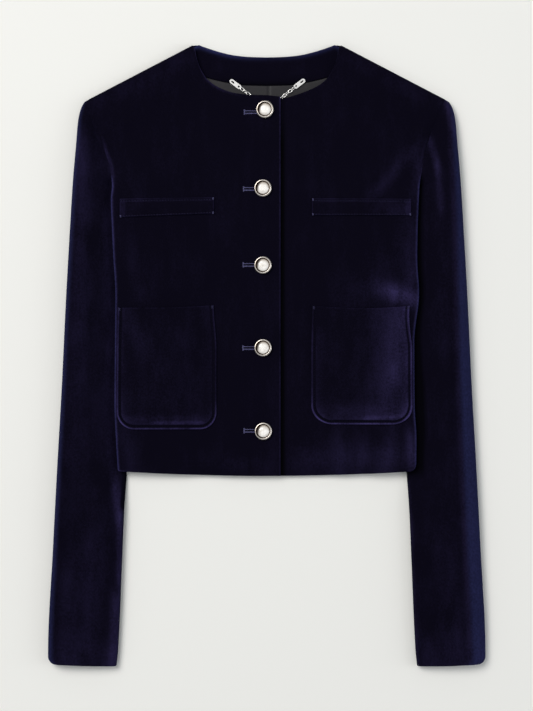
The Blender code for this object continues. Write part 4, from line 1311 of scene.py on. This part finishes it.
def sleeve_top(x, y, size, side):
    """Flat where the body lies on it, swelling beside the body, and rolled over at both edges."""
    armhole = front_plain(size["edge"], size["inner_y"], side)
    low = mix(size["inner_thick"], armhole, size["arm"])
    end = mix(size["inner_thick"] / 2 + SEAM / 2, armhole, size["arm"])
    tucked = along(TUCKED_UNDER_BODY, size["inner_y"])
    start = size["inner"] + size["roll_in"]
    start = start + tucked * np.maximum(size["edge"] + SWELL_FROM_EDGE - start, 0.0)
    swell = np.clip((x - start) / (size["outer"] - size["roll_out"] - start), 0.0, 1.0)
    height = mix(low, np.maximum(size["thick"], low), 1.0 - (1.0 - swell) ** 2)
    height = height + (strokes(SLEEVE_FOLDS[side], x, y) + waves(x, y)) * ease(swell * 3.0)
    height = height + armhole_dip(x - size["inner"], y, size["arm"])
    height = mix(height, end, roll((x - size["inner"]) / size["roll_in"]) * (1.0 - size["arm"]))
    outer_seam = size["thick"] / 2 + SEAM / 2
    height = mix(height, outer_seam, roll((size["outer"] - x) / size["roll_out"]))
    return to_shoulder(height, x, y, SEAM / 2)


def sleeve_under(x, y, size):
    """Flat on the floor, and rolled up at both edges to meet the top panel."""
    armhole = lift(size["edge"], size["inner_y"])
    end = mix(size["inner_thick"] / 2 - SEAM / 2, armhole, size["arm"])
    wide_reach = np.minimum(UNDERARM_REACH, WIDEST_ROLL["underarm"] * size["width"])
    reach = mix(size["roll_in"], wide_reach, size["arm"])
    height = end * roll((x - size["inner"]) / reach)
    outer_seam = size["thick"] / 2 - SEAM / 2
    height = mix(height, outer_seam, roll((size["outer"] - x) / size["roll_out"]))
    return to_shoulder(height, x, y, -SEAM / 2)


def make_sleeve_panel(side, panel):
    upper = panel == "top"
    grid = SLEEVE_GRIDS[panel]
    down = spaced(0.0, SLEEVE_LONG, grid.step, SHOULDER_STEPS, EDGE_STEPS)
    size = sleeve_section(down / SLEEVE_LONG, side)
    across = (0.5 - 0.5 * np.cos(np.linspace(0.0, math.pi, grid.columns)))[None, :]
    x = mix(size["inner"], size["outer"], across)
    y = mix(size["inner_y"], size["outer_y"], across)
    height = sleeve_top(x, y, size, side) if upper else sleeve_under(x, y, size)
    points = with_height(np.stack([x, y], axis=-1), height)
    normals = normals_of(points, upper)
    normals[:, 0] = lean((-1.0, 0.0, 0.0), size["arm"][:, 0] * (1.0 if upper else -1.0))
    normals[:, -1] = (1.0, 0.0, 0.0)
    normals[0] = SHOULDER_OUT
    free = from_edge(points, row=-1)
    # Painted sheen in the band along the outer line and at the cuff
    band = smooth(column(OUTER_BANDS, "y", side), y)
    light = BAND_LIGHT[side] * ease((band - (size["outer"] - x)) / BAND_FADE + 0.5)
    light = light + CUFF_LIGHT * glow(free, EDGE_REACH)
    painted_sheen_and_shade = np.zeros(x.shape)
    if upper:
        # Painted shadow in the valley beside the body's edge, and painted sheen in strokes, over the panel,
        # at the cuff, beside the band and along the inner line
        beside_body = np.maximum(x - size["edge"], 0.0)
        valley = ease((smooth(VALLEY_WIDE, y) - beside_body) / VALLEY_FADE)
        valley = valley * fold_share(y) * along(VALLEY_END, y)
        fringe = glow(size["outer"] - x - band - BAND_FRINGE_REACH, BAND_FRINGE_REACH)
        inner_line = glow(x - size["inner"] - INNER_LIGHT_IN, INNER_LIGHT_REACH) * (y < INNER_LIGHT_BELOW)
        painted_sheen_and_shade = strokes(SLEEVE_SHEEN_STROKES[side], x, y, NAP_FADE) - VALLEY_DARK[side] * valley
        painted_sheen_and_shade = painted_sheen_and_shade + CUFF_SHEEN[side] * along(CUFF_SHEEN_DOWN, y) + SLEEVE_SHEEN[side]
        painted_sheen_and_shade = painted_sheen_and_shade + BAND_FRINGE[side] * fringe + INNER_LIGHT * inner_line
    name = f"sleeve_{side}_{panel}"
    piece = cloth_piece(name, points, normals, VELVET, free, painted_sheen_and_shade, light, side, VELVET_BODY)
    laid(piece, name)


for side in ("right", "left"):
    for panel in ("under", "top"):
        make_sleeve_panel(side, panel)


# Chest welts
# A false pocket on each front: a band of velvet sewn on flat, with a thin folded jet along its upper
# edge. Its stitches pull the edges down, so the band swells slightly between them.
Welt = namedtuple("Welt", "side inner outer inner_top inner_low outer_top outer_low")
WELTS = (
    Welt("right", 58.0, 161.4, 173.6, 155.6, 171.6, 151.2),
    Welt("left", 49.8, 158.4, 172.6, 153.8, 171.4, 153.2),
)
JET_TALL = 2.4
WELT_SWELL = 0.5
WELT_FOLD_IN = 6.5
WELT_FOLD_WIDE = 1.1
WELT_FOLD_DEEP = 0.45
WELT_CROWN_IN = 8.0
WELT_COLUMN_STEP = 1.3
WELT_ROW_STEP = 0.9
JET_ROWS = 9
# Painted sheen along the welt's edges, on its folded end and in strokes
WELT_LIGHT = 0.06
WELT_END_LIGHT = {"right": 0.035, "left": 0.05}
WELT_FOLD_END = Ramp(7.0, -1.6)
WELT_SHEEN_STROKES = {
    "right": (),
    "left": (
        Stroke(122.0, 161.0, 156.0, 161.0, 8.0, 0.035),
        Stroke(140.0, 156.0, 152.0, 160.0, 5.0, 0.03),
    ),
}
VELVET_POCKET = velvet_finish("velvet_pocket", 0.06, 0.07)


def on_front(flat, side, thick, extra=0.0):
    """Points of a piece that lies on a front, taken from the front's own height and moved out."""
    return with_height(flat, front_top(flat[..., 0], flat[..., 1], side) + RESTING + thick + extra)


def make_welt(welt):
    x = spaced(welt.inner, welt.outer, WELT_COLUMN_STEP, EDGE_STEPS, EDGE_STEPS)[None, :]
    share = (x - welt.inner) / (welt.outer - welt.inner)
    top = mix(welt.inner_top, welt.outer_top, share)
    low = mix(welt.inner_low, welt.outer_low, share)
    tall = float(np.mean(top - low))
    for name, first, last, thick in (
        ("chest_welt_" + welt.side, low, top - JET_TALL - SEAM, THIN_VELVET),
        ("chest_jet_" + welt.side, top - JET_TALL, top, LINING),
    ):
        is_jet = name.startswith("chest_jet")
        steps = np.linspace(0.0, 1.0, JET_ROWS) if is_jet else strip_rows(tall - JET_TALL, WELT_ROW_STEP)
        y = mix(first, last, steps[:, None])
        flat = np.stack([np.broadcast_to(x, y.shape), y], axis=-1)
        across = np.minimum(x - welt.inner, welt.outer - x)
        crown = np.sin(math.pi * steps)[:, None] * ease(across / WELT_CROWN_IN)
        fold = glow(welt.outer - x - WELT_FOLD_IN, WELT_FOLD_WIDE)
        shape = 0.0 if is_jet else WELT_SWELL * crown - WELT_FOLD_DEEP * fold
        points = on_front(flat, welt.side, thick, shape)
        upright = np.broadcast_to((0.0, 0.0, 1.0), points.shape)
        free = np.minimum(from_long_edges(points), across)
        # Painted sheen along the edges, on the folded end and in strokes
        folded_end = along(WELT_FOLD_END, welt.outer - x)
        painted_sheen_and_shade = WELT_LIGHT * glow(free, EDGE_REACH) + WELT_END_LIGHT[welt.side] * folded_end
        painted_sheen_and_shade = painted_sheen_and_shade + strokes(WELT_SHEEN_STROKES[welt.side], x, y)
        piece = cloth_piece(name, points, upright, thick, free, painted_sheen_and_shade, 0.0, welt.side, VELVET_POCKET)
        fit(piece, name)


for welt in WELTS:
    make_welt(welt)


# Patch pockets
# A velvet patch sewn on each front, with round lower corners. A row of stitches a few millimetres inside
# its edge sinks into the pile and leaves a raised border. The mouth sags and lifts a little.

# At its mouth a pocket is drawn in by mouth_in on its inner side and mouth_out on its outer side
Pocket = namedtuple(
    "Pocket", "side inner outer_gap inner_top outer_top low corner_wide corner_tall sag mouth_in mouth_out"
)
POCKETS = (
    Pocket("right", 55.2, 2.6, 55.0, 52.2, -81.8, 18.0, 19.0, 1.4, 3.0, 0.4),
    Pocket("left", 49.0, 2.6, 54.4, 54.0, -76.4, 24.0, 20.5, 2.8, 1.0, 7.0),
)
MOUTH_DRAWN = 48.0
POCKET_STITCH_IN = 3.6
POCKET_GROOVE = 0.6
POCKET_GROOVE_WIDE = 0.95
POCKET_SWELL = 0.7
POCKET_SWELL_IN = 22.0
POCKET_STEP = 1.7
CORNER_ROWS = 26
MOUTH_LIFT = 0.5
MOUTH_LIFT_DOWN = 9.0
MOUTH_LIFT_IN = 12.0
# Painted sheen along the mouth
MOUTH_LIGHT = 0.03
# How much sheen is painted on the nap along each sewn edge and on the ridge inside the stitches, and how much
# shade is painted in them
PocketEdges = namedtuple("PocketEdges", "inner outer bottom")
POCKET_LIGHT = {"right": PocketEdges(0.10, 0.24, 0.44), "left": PocketEdges(0.09, 0.30, 0.44)}
POCKET_EDGE_IN = 0.8
RIDGE_LIGHT = PocketEdges(0.02, 0.05, 0.09)
RIDGE_IN = 1.7
RIDGE_OUT = 0.8
RIDGE_FADE = 3.0
# Painted sheen over the whole pocket
POCKET_SHEEN = 0.005
LOWER_BORDER = Ramp(34.0, -30.0)
OUTER_BORDER = Ramp(0.3, 0.4)
STITCH_DARK = PocketEdges(0.05, 0.2, 0.4)
# Painted sheen on the pockets, in strokes
POCKET_SHEEN_STROKES = {
    "right": (
        Stroke(156.0, 44.0, 132.0, 6.0, 11.0, 0.03),
        Stroke(150.0, -40.0, 110.0, -50.0, 18.0, 0.012),
        Stroke(150.0, -70.0, 76.0, -70.0, 4.0, 0.04),
        Stroke(122.0, -74.5, 74.0, -74.5, 2.0, 0.14),
    ),
    "left": (
        Stroke(140.0, 46.0, 138.0, -62.0, 22.0, 0.08),
        Stroke(151.0, 48.0, 139.0, -20.0, 9.0, 0.085),
        Stroke(155.0, 48.0, 155.0, -52.0, 7.0, 0.06),
        Stroke(86.0, -62.0, 150.0, -60.0, 8.0, 0.05),
        Stroke(112.0, -69.0, 148.0, -67.0, 2.4, 0.14),
    ),
}
BORDER_STEPS = (*EDGE_STEPS, 3.2, 3.6, 4.0, 4.4, 4.8, 5.3, 5.8, 6.4, 7.1, 7.9, 8.8)


def pocket_sides(pocket, share, y):
    """Top line of a pocket at a share of its width, and its inner and outer sides at a height."""
    top = mix(pocket.inner_top, pocket.outer_top, share) - pocket.sag * 4.0 * share * (1.0 - share)
    drawn = ease(1.0 - (top - y) / MOUTH_DRAWN)
    inner = pocket.inner + pocket.mouth_in * drawn
    outer = body_edge(y, pocket.side) - pocket.outer_gap - pocket.mouth_out * drawn
    return top, inner, outer


def pocket_inside(pocket, beside, y):
    """Distance from a place on a pocket to its sewn edge, round the lower corners too."""
    above = y - pocket.low
    wide = pocket.corner_wide
    tall = pocket.corner_tall
    out = np.hypot(np.maximum(wide - beside, 0.0) / wide, np.maximum(tall - above, 0.0) / tall)
    in_corner = (beside < wide) & (above < tall)
    round_off = (1.0 - out) * (wide + tall) / 2
    return np.maximum(np.where(in_corner, round_off, np.minimum(beside, above)), 0.0)


def make_pocket(pocket):
    turns = np.radians(np.linspace(90.0, 0.0, CORNER_ROWS))
    wide = body_edge(0.0, pocket.side) - pocket.outer_gap - pocket.inner
    across = (spaced(0.0, wide, POCKET_STEP, BORDER_STEPS, BORDER_STEPS) / wide)[None, :]
    top = pocket_sides(pocket, across, 0.0)[0]
    straight_low = pocket.low + pocket.corner_tall
    corner_y = straight_low - pocket.corner_tall * np.sin(turns)[:, None] + np.zeros_like(top)
    tall = pocket.inner_top - straight_low
    rising = (spaced(0.0, tall, POCKET_STEP, (0.0,), EDGE_STEPS) / tall)[1:, None]
    y = np.concatenate([corner_y, mix(straight_low, top, rising)])
    inset = np.concatenate([pocket.corner_wide * (1.0 - np.cos(turns)), np.zeros(len(rising))])[:, None]
    top, inner, outer = pocket_sides(pocket, across, y)
    x = mix(inner + inset, outer - inset, across)
    inside = pocket_inside(pocket, np.minimum(x - inner, outer - x), y)
    mouth = top - y
    groove = glow(inside - POCKET_STITCH_IN, POCKET_GROOVE_WIDE)
    crown = POCKET_SWELL * ease((inside - POCKET_STITCH_IN) / POCKET_SWELL_IN)
    lifted = MOUTH_LIFT * np.exp(-mouth / MOUTH_LIFT_DOWN) * ease(inside / MOUTH_LIFT_IN)
    shape = crown - POCKET_GROOVE * groove + lifted
    points = on_front(np.stack([x, y], axis=-1), pocket.side, THIN_VELVET, shape)
    upright = np.broadcast_to((0.0, 0.0, 1.0), points.shape)
    free = np.minimum(inside, mouth)
    low_share = along(LOWER_BORDER, y - pocket.low)
    outer_share = along(OUTER_BORDER, across)

    def by_edge(sizes):
        return mix(mix(sizes.inner, sizes.outer, outer_share), sizes.bottom, low_share)

    # Painted sheen along the sewn edges, on the ridge and at the mouth, painted shade in the stitch groove,
    # and painted sheen over the pocket and in strokes
    uneven = 0.85 + 0.25 * np.sin(0.13 * x + 0.09 * y)
    past_stitch = inside - POCKET_STITCH_IN - RIDGE_IN
    inner_ridge = np.exp(-np.maximum(past_stitch, 0.0) / RIDGE_FADE)
    ridge = np.where(past_stitch < 0.0, glow(past_stitch, RIDGE_OUT), inner_ridge)
    light = by_edge(POCKET_LIGHT[pocket.side]) * uneven * glow(inside - POCKET_EDGE_IN, EDGE_REACH)
    light = light + by_edge(RIDGE_LIGHT) * uneven * ridge + MOUTH_LIGHT * glow(mouth, EDGE_REACH)
    light = light - by_edge(STITCH_DARK) * groove + POCKET_SHEEN
    painted_sheen_and_shade = light + strokes(POCKET_SHEEN_STROKES[pocket.side], x, y, NAP_FADE)
    name = "patch_pocket_" + pocket.side
    piece = cloth_piece(name, points, upright, THIN_VELVET, free, painted_sheen_and_shade, 0.0, pocket.side, VELVET_POCKET)
    laid(piece, name)


for pocket in POCKETS:
    make_pocket(pocket)


# Buttonholes and stitching
# Each buttonhole is a slit bound on both lips with close silk stitches and barred at its left end. The
# welts and the pockets are held by rows of dark thread that sink into the pile.
Hole = namedtuple("Hole", "left y")
HOLES = (
    Hole(-24.3, 266.9),
    Hole(-25.2, 182.6),
    Hole(-25.6, 99.1),
    Hole(-25.9, 7.7),
    Hole(-24.6, -83.3),
)
HOLE_LONG = 21.0
LIP_APART = 2.8
LIP_STITCH = {"upper": (1.2, 0.42), "lower": (1.6, 0.44)}
LIP_SPACING = 0.46
BAR_STITCH = (1.7, 0.45)
BAR_TALL = 5.4
BAR_PAST = 0.3
LIP_ABOVE = 0.12
BAR_ABOVE = 0.2
SLIT_ABOVE = 0.05
SLIT_WIDE = 1.8
EDGE_STITCH = (2.1, 0.32)
EDGE_STITCH_SPACING = 2.9
WELT_STITCH = (1.5, 0.36)
WELT_STITCH_SPACING = 3.0
TACK_STITCH = (2.6, 0.45)
TACK_SPACING = 0.55
# How far below the mouth a tack starts and ends
TACK_DOWN = (3.6, 1.2)
END_STITCH = (1.8, 0.42)
END_SPACING = 0.5
END_IN = 1.0
END_TALL = 1.8
END_BELOW_TOP = 2.6
WELT_ROW_IN = 1.6
WELT_ROW_UP = 1.2
THREAD_ABOVE = 0.05
TACK_ABOVE = 0.1
SUNK_ABOVE = 0.15
SILK_DARK = (0.036, 0.035, 0.090)
SILK_PALE = (0.130, 0.125, 0.27)
TACK_DARK = (0.010, 0.009, 0.024)
TACK_PALE = (0.046, 0.043, 0.105)
SUNK_DARK = (0.0025, 0.002, 0.006)
SUNK_PALE = (0.009, 0.0075, 0.024)
# Colours of the painted shadow in the buttonhole slits
SLIT_DARK = (0.001, 0.001, 0.002)
SLIT_PALE = (0.003, 0.003, 0.006)


def thread_finish(name, dark, pale, gloss):
    """Silk sewing thread: twisted strands with a soft gloss, uneven in shade from stitch to stitch."""
    material = new_finish(name, {"Roughness": 0.5, "Specular IOR Level": gloss})
    tree = material.node_tree
    place = node_by(tree, "ShaderNodeTexCoord").outputs["Object"]
    twist = node_by(tree, "ShaderNodeTexWave", {"Vector": place, "Scale": 1500.0}, wave_type="BANDS",
                    bands_direction="DIAGONAL")
    set_shader(material, {"Base Color": blend(tree, noise(tree, 420.0, 2.0), dark, pale),
                          "Normal": bump(tree, twist.outputs["Fac"], 0.4, 0.08)})
    return material


SILK = thread_finish("buttonhole_silk", SILK_DARK, SILK_PALE, 0.3)
TACK_THREAD = thread_finish("bar_tack_thread", TACK_DARK, TACK_PALE, 0.1)
SUNK_THREAD = thread_finish("sewing_thread", SUNK_DARK, SUNK_PALE, 0.04)


def stitch_tree():
    """One stitch, a small bead of thread, at each step of a path and turned to it by an angle."""
    tree, given = path_tree("sewn_row", ("Spacing", "Long", "Thick", "Turn"))
    points, rotation = along_path(tree, given)
    bead = node_by(tree, "GeometryNodeMeshUVSphere", {"Segments": 8, "Rings": 6, "Radius": 0.5})
    drawn = scaled(tree, bead.outputs["Mesh"], {"X": given["Long"], "Y": given["Thick"], "Z": given["Thick"]})
    turned = turned_about(tree, rotation, (0.0, 0.0, 1.0), given["Turn"])
    place_and_finish(tree, given, points, drawn, turned)
    return tree


STITCHES = stitch_tree()


def sew(name, lines, stitch, spacing, turn=0.0, material=SUNK_THREAD):
    """Rows of like stitches along the given lines, as one piece."""
    sizes = {"Spacing": spacing * MM, "Long": stitch[0] * MM, "Thick": stitch[1] * MM, "Turn": turn,
             "Finish": material}
    mesh = grown(path_object(name + "_path", lines), STITCHES, sizes, name)
    fit(mesh_object(name, mesh, material))


def over_front(side, flat, above):
    """A line of points at a height above a front, with the right side's mirrored."""
    flat = np.asarray(flat, float)
    height = front_top(flat[:, 0], flat[:, 1], side) + above
    sign = -1.0 if side == "right" else 1.0
    return np.column_stack([flat[:, 0] * sign, flat[:, 1], height])


def straight_line(start, end, count):
    share = np.linspace(0.0, 1.0, count)[:, None]
    return np.array(start) * (1.0 - share) + np.array(end) * share


def make_buttonholes():
    lips = {"upper": [], "lower": []}
    bars = []
    slits = []
    for hole in HOLES:
        left = -hole.left
        for lip, off in (("upper", LIP_APART / 2), ("lower", -LIP_APART / 2)):
            line = straight_line((left, hole.y + off), (left - HOLE_LONG, hole.y + off), 20)
            lips[lip].append(over_front("right", line, LIP_ABOVE))
        bar = left + BAR_PAST
        line = straight_line((bar, hole.y - BAR_TALL / 2), (bar, hole.y + BAR_TALL / 2), 8)
        bars.append(over_front("right", line, BAR_ABOVE))
        slits.append(straight_line((left, hole.y), (left - HOLE_LONG, hole.y), 24))
    quarter = math.pi / 2
    for lip, lines in lips.items():
        sew("buttonhole_lips_" + lip, lines, LIP_STITCH[lip], LIP_SPACING, quarter, SILK)
    sew("buttonhole_bars", bars, BAR_STITCH, LIP_SPACING, quarter, SILK)
    # A dark strip laid on the front between the lips of each buttonhole, as painted shadow in its slit
    points = []
    faces = []
    for slit in slits:
        start = len(points)
        for off in (-SLIT_WIDE / 2, SLIT_WIDE / 2):
            points += list(over_front("right", slit + (0.0, off), SLIT_ABOVE))
        for low in range(start, start + len(slit) - 1):
            high = low + len(slit)
            faces.append((low, high, high + 1, low + 1))
    mesh = bpy.data.meshes.new("buttonhole_slit_shadows")
    mesh.from_pydata((np.array(points) * MM).tolist(), [], faces)
    shadow = thread_finish("slit_shadow", SLIT_DARK, SLIT_PALE, 0.0)
    fit(mesh_object("buttonhole_slit_shadows", mesh, shadow))


def pocket_stitch_line(pocket):
    """The row of stitches inside a pocket's edge, down one side, round the bottom and up the other."""
    inset = POCKET_STITCH_IN
    wide = pocket.corner_wide - inset
    tall = pocket.corner_tall - inset
    low = pocket.low + inset
    sides = []
    for share in (0.0, 1.0):
        top = pocket_sides(pocket, share, 0.0)[0]
        y = np.linspace(top - 1.5, low + tall, 60)
        inner, outer = pocket_sides(pocket, share, y)[1:]
        sides.append(np.column_stack([inner + inset if share == 0.0 else outer - inset, y]))
    turn = np.radians(np.linspace(0.0, 90.0, 16))
    drop = low + tall * (1 - np.sin(turn))
    first = np.column_stack([sides[0][-1, 0] + wide * (1 - np.cos(turn)), drop])
    last = np.column_stack([sides[1][-1, 0] - wide * (1 - np.cos(turn)), drop])[::-1]
    bottom = straight_line(first[-1], last[0], 50)
    return np.concatenate([sides[0], first[1:], bottom[1:-1], last, sides[1][-2::-1]])


def make_edge_stitches():
    rows = []
    tacks = []
    patch = RESTING + THIN_VELVET
    depth = patch - POCKET_GROOVE + SUNK_ABOVE
    for pocket in POCKETS:
        rows.append(over_front(pocket.side, pocket_stitch_line(pocket), depth))
        for share, inward in ((0.0, 1.0), (1.0, -1.0)):
            top = pocket_sides(pocket, share, 0.0)[0]
            x = pocket_sides(pocket, share, top)[1 if share == 0.0 else 2] + inward * POCKET_STITCH_IN / 2
            line = straight_line((x, top - TACK_DOWN[0]), (x, top - TACK_DOWN[1]), 6)
            tacks.append(over_front(pocket.side, line, patch + MOUTH_LIFT * 0.2 + TACK_ABOVE))
    sew("pocket_stitches", rows, EDGE_STITCH, EDGE_STITCH_SPACING)
    sew("pocket_bar_tacks", tacks, TACK_STITCH, TACK_SPACING, math.pi / 2, TACK_THREAD)
    rows = []
    ends = []
    for welt in WELTS:
        share = np.linspace(0.0, 1.0, 70)
        x = mix(welt.inner + WELT_ROW_IN, welt.outer - WELT_ROW_IN, share)
        low = mix(welt.inner_low, welt.outer_low, share) + WELT_ROW_UP
        top = mix(welt.inner_top, welt.outer_top, share) - JET_TALL - SEAM / 2
        rows.append(over_front(welt.side, np.column_stack([x, low]), patch + THREAD_ABOVE))
        rows.append(over_front(welt.side, np.column_stack([x, top]), RESTING + LINING + THREAD_ABOVE))
        for x, y in (
            (welt.inner + END_IN, welt.inner_low),
            (welt.inner + END_IN, welt.inner_top - END_BELOW_TOP),
            (welt.outer - END_IN, welt.outer_low),
        ):
            line = straight_line((x, y), (x, y + END_TALL), 4)
            ends.append(over_front(welt.side, line, patch + TACK_ABOVE))
    sew("welt_stitches", rows, WELT_STITCH, WELT_STITCH_SPACING, 0.0, TACK_THREAD)
    sew("welt_end_tacks", ends, END_STITCH, END_SPACING, math.pi / 2, SILK)


make_buttonholes()
make_edge_stitches()


# Buttons
# Five domed buttons. Each is a plated dish with a rolled rim, turned in one piece, and an imitation pearl
# set in it. A thread shank holds it to the left front through the buttonhole.
Button = namedtuple("Button", "x y")
BUTTONS = (
    Button(-2.1, 269.7),
    Button(-4.3, 183.5),
    Button(-4.3, 98.8),
    Button(-4.2, 8.0),
    Button(-3.8, -83.7),
)
RIM_PROFILE = ((9.0, 0.0), (9.6, 0.9), (9.6, 2.3), (9.0, 3.3), (8.2, 3.5), (7.4, 2.9), (7.1, 1.6))
PEARL_PROFILE = ((6.6, 1.9), (6.8, 2.8), (5.9, 3.9), (3.6, 4.9))
PEARL_TOP = 5.3
PEARL_CROWN = 0.4
BUTTON_SIDES = 64
RIM_RINGS = 34
PEARL_RINGS = 22
# The pearl's own white and clouded colours, then painted shade towards its edge away from its lit side, and a
# painted shadow on its left side seen from above
PEARL_MIDDLE = (0.97, 0.94, 0.885)
PEARL_CLOUDED = (0.68, 0.62, 0.55)
PEARL_SHADED_EDGE = (0.38, 0.325, 0.27)
PEARL_LIT_SIDE = (0.10, -0.24, 0.965)
PEARL_PAINTED_SHADOW = (0.020, 0.012, 0.008)
PEARL_SHADOW_SIDE = (-0.91, 0.33, 0.25)
# The oxidised dish inside the rim: a circle set a little to the left so that it shows widest there, and the
# colours and direction of its painted reflection, dark on the left and brown on the right
GROOVE_FROM = 8.0
GROOVE_MIDDLE = (-0.5, 0.15)
OXIDE_DARK_REFLECTION = (0.012, 0.008, 0.006)
OXIDE_BROWN_REFLECTION = (0.46, 0.31, 0.21)
DARK_REFLECTION_SIDE = (0.97, -0.25, 0.0)
RIM_SILVER = (0.66, 0.61, 0.55)


def facing(tree, direction):
    """How squarely the surface faces a direction, from the piece's own normals."""
    normal = node_by(tree, "ShaderNodeTexCoord").outputs["Normal"]
    fed = {0: normal, 1: direction}
    return node_by(tree, "ShaderNodeVectorMath", fed, operation="DOT_PRODUCT").outputs["Value"]


def pearl_finish():
    """Imitation pearl: milky white and clouded, with painted shade towards its edge and a painted shadow on
    its left, under a clear lacquer.
    """
    material = new_finish("pearl", {"Roughness": 0.3, "Coat Weight": 0.5, "Coat Roughness": 0.1})
    tree = material.node_tree
    colour = blend(tree, map_range(tree, noise(tree, 210.0, 3.0), 0.46, 0.78), PEARL_MIDDLE, PEARL_CLOUDED)
    # Painted shade towards the edge away from the lit side, and a painted shadow on the left side
    colour = blend(tree, map_range(tree, facing(tree, PEARL_LIT_SIDE), 0.97, 0.62), colour, PEARL_SHADED_EDGE)
    colour = blend(tree, map_range(tree, facing(tree, PEARL_SHADOW_SIDE), 0.5, 0.78), colour, PEARL_PAINTED_SHADOW)
    set_shader(material, {"Base Color": colour})
    return material


def dish_oxide_and_reflection_finish():
    """The dish inside the rim, oxidised where the plating was rubbed back, under a painted reflection dark on
    its left and brown on its right.
    """
    material = new_finish("oxidised_silver_painted_reflection", {"Roughness": 0.38, "Metallic": 1.0})
    tree = material.node_tree
    reach = map_range(tree, facing(tree, DARK_REFLECTION_SIDE), 0.15, -0.5)
    set_shader(material, {"Base Color": blend(tree, reach, OXIDE_DARK_REFLECTION, OXIDE_BROWN_REFLECTION)})
    return material


def turned_mesh(name, profile, top, bottom, place):
    """A round piece turned from a profile of (radius, height) rows, closed at both ends on its axis."""
    turn = 2.0 * math.pi * np.arange(BUTTON_SIDES) / BUTTON_SIDES
    circle_points = np.column_stack([np.cos(turn), np.sin(turn), np.ones(BUTTON_SIDES)])
    rings = [circle_points * (radius, radius, height) for radius, height in profile]
    ends = np.array(((0.0, 0.0, bottom), (0.0, 0.0, top)))
    points = np.concatenate(rings + [ends]) + np.array(place)
    here = np.arange(BUTTON_SIDES)
    after = (here + 1) % BUTTON_SIDES
    foot = len(points) - 2
    faces = []
    for ring in range(len(profile) - 1):
        low = ring * BUTTON_SIDES
        high = low + BUTTON_SIDES
        faces += np.column_stack([low + here, low + after, high + after, high + here]).tolist()
    last = (len(profile) - 1) * BUTTON_SIDES
    faces += np.column_stack([np.full(BUTTON_SIDES, foot), after, here]).tolist()
    faces += np.column_stack([np.full(BUTTON_SIDES, foot + 1), last + here, last + after]).tolist()
    mesh = bpy.data.meshes.new(name)
    mesh.from_pydata((points * MM).tolist(), [], faces)
    return mesh


def make_buttons():
    pearl = pearl_finish()
    plated = new_finish("satin_silver", {"Base Color": RIM_SILVER, "Roughness": 0.36, "Metallic": 1.0})
    dish_oxide_and_reflection = dish_oxide_and_reflection_finish()
    rim_line = line_points(RIM_PROFILE, np.linspace(0.0, 1.0, RIM_RINGS))
    pearl_line = line_points((*PEARL_PROFILE, (PEARL_CROWN, PEARL_TOP)), np.linspace(0.0, 1.0, PEARL_RINGS))
    for number, place in enumerate(BUTTONS, 1):
        seat = float(front_top(np.array(-place.x), np.array(place.y), "right")) + RESTING
        for name, line, top, bottom, finish, slot in (
            ("button_rim_", rim_line, RIM_PROFILE[-1][1], 0.0, plated, "silver"),
            ("button_pearl_", pearl_line, PEARL_TOP, PEARL_PROFILE[0][1], pearl, "pearl"),
        ):
            name = name + str(number)
            mesh = turned_mesh(name, line, top, bottom, (place.x, place.y, seat))
            piece = mesh_object(name + "_turned", mesh, finish)
            if slot == "silver":
                # The dish inside the rim, a circle set to the left, takes the oxide with its painted
                # reflection
                mesh.materials.append(dish_oxide_and_reflection)
                for face in mesh.polygons:
                    off = np.array(face.center[:2]) / MM - (place.x, place.y) - np.array(GROOVE_MIDDLE)
                    face.material_index = int(np.hypot(*off) < GROOVE_FROM)
            fit(piece, name)


make_buttons()
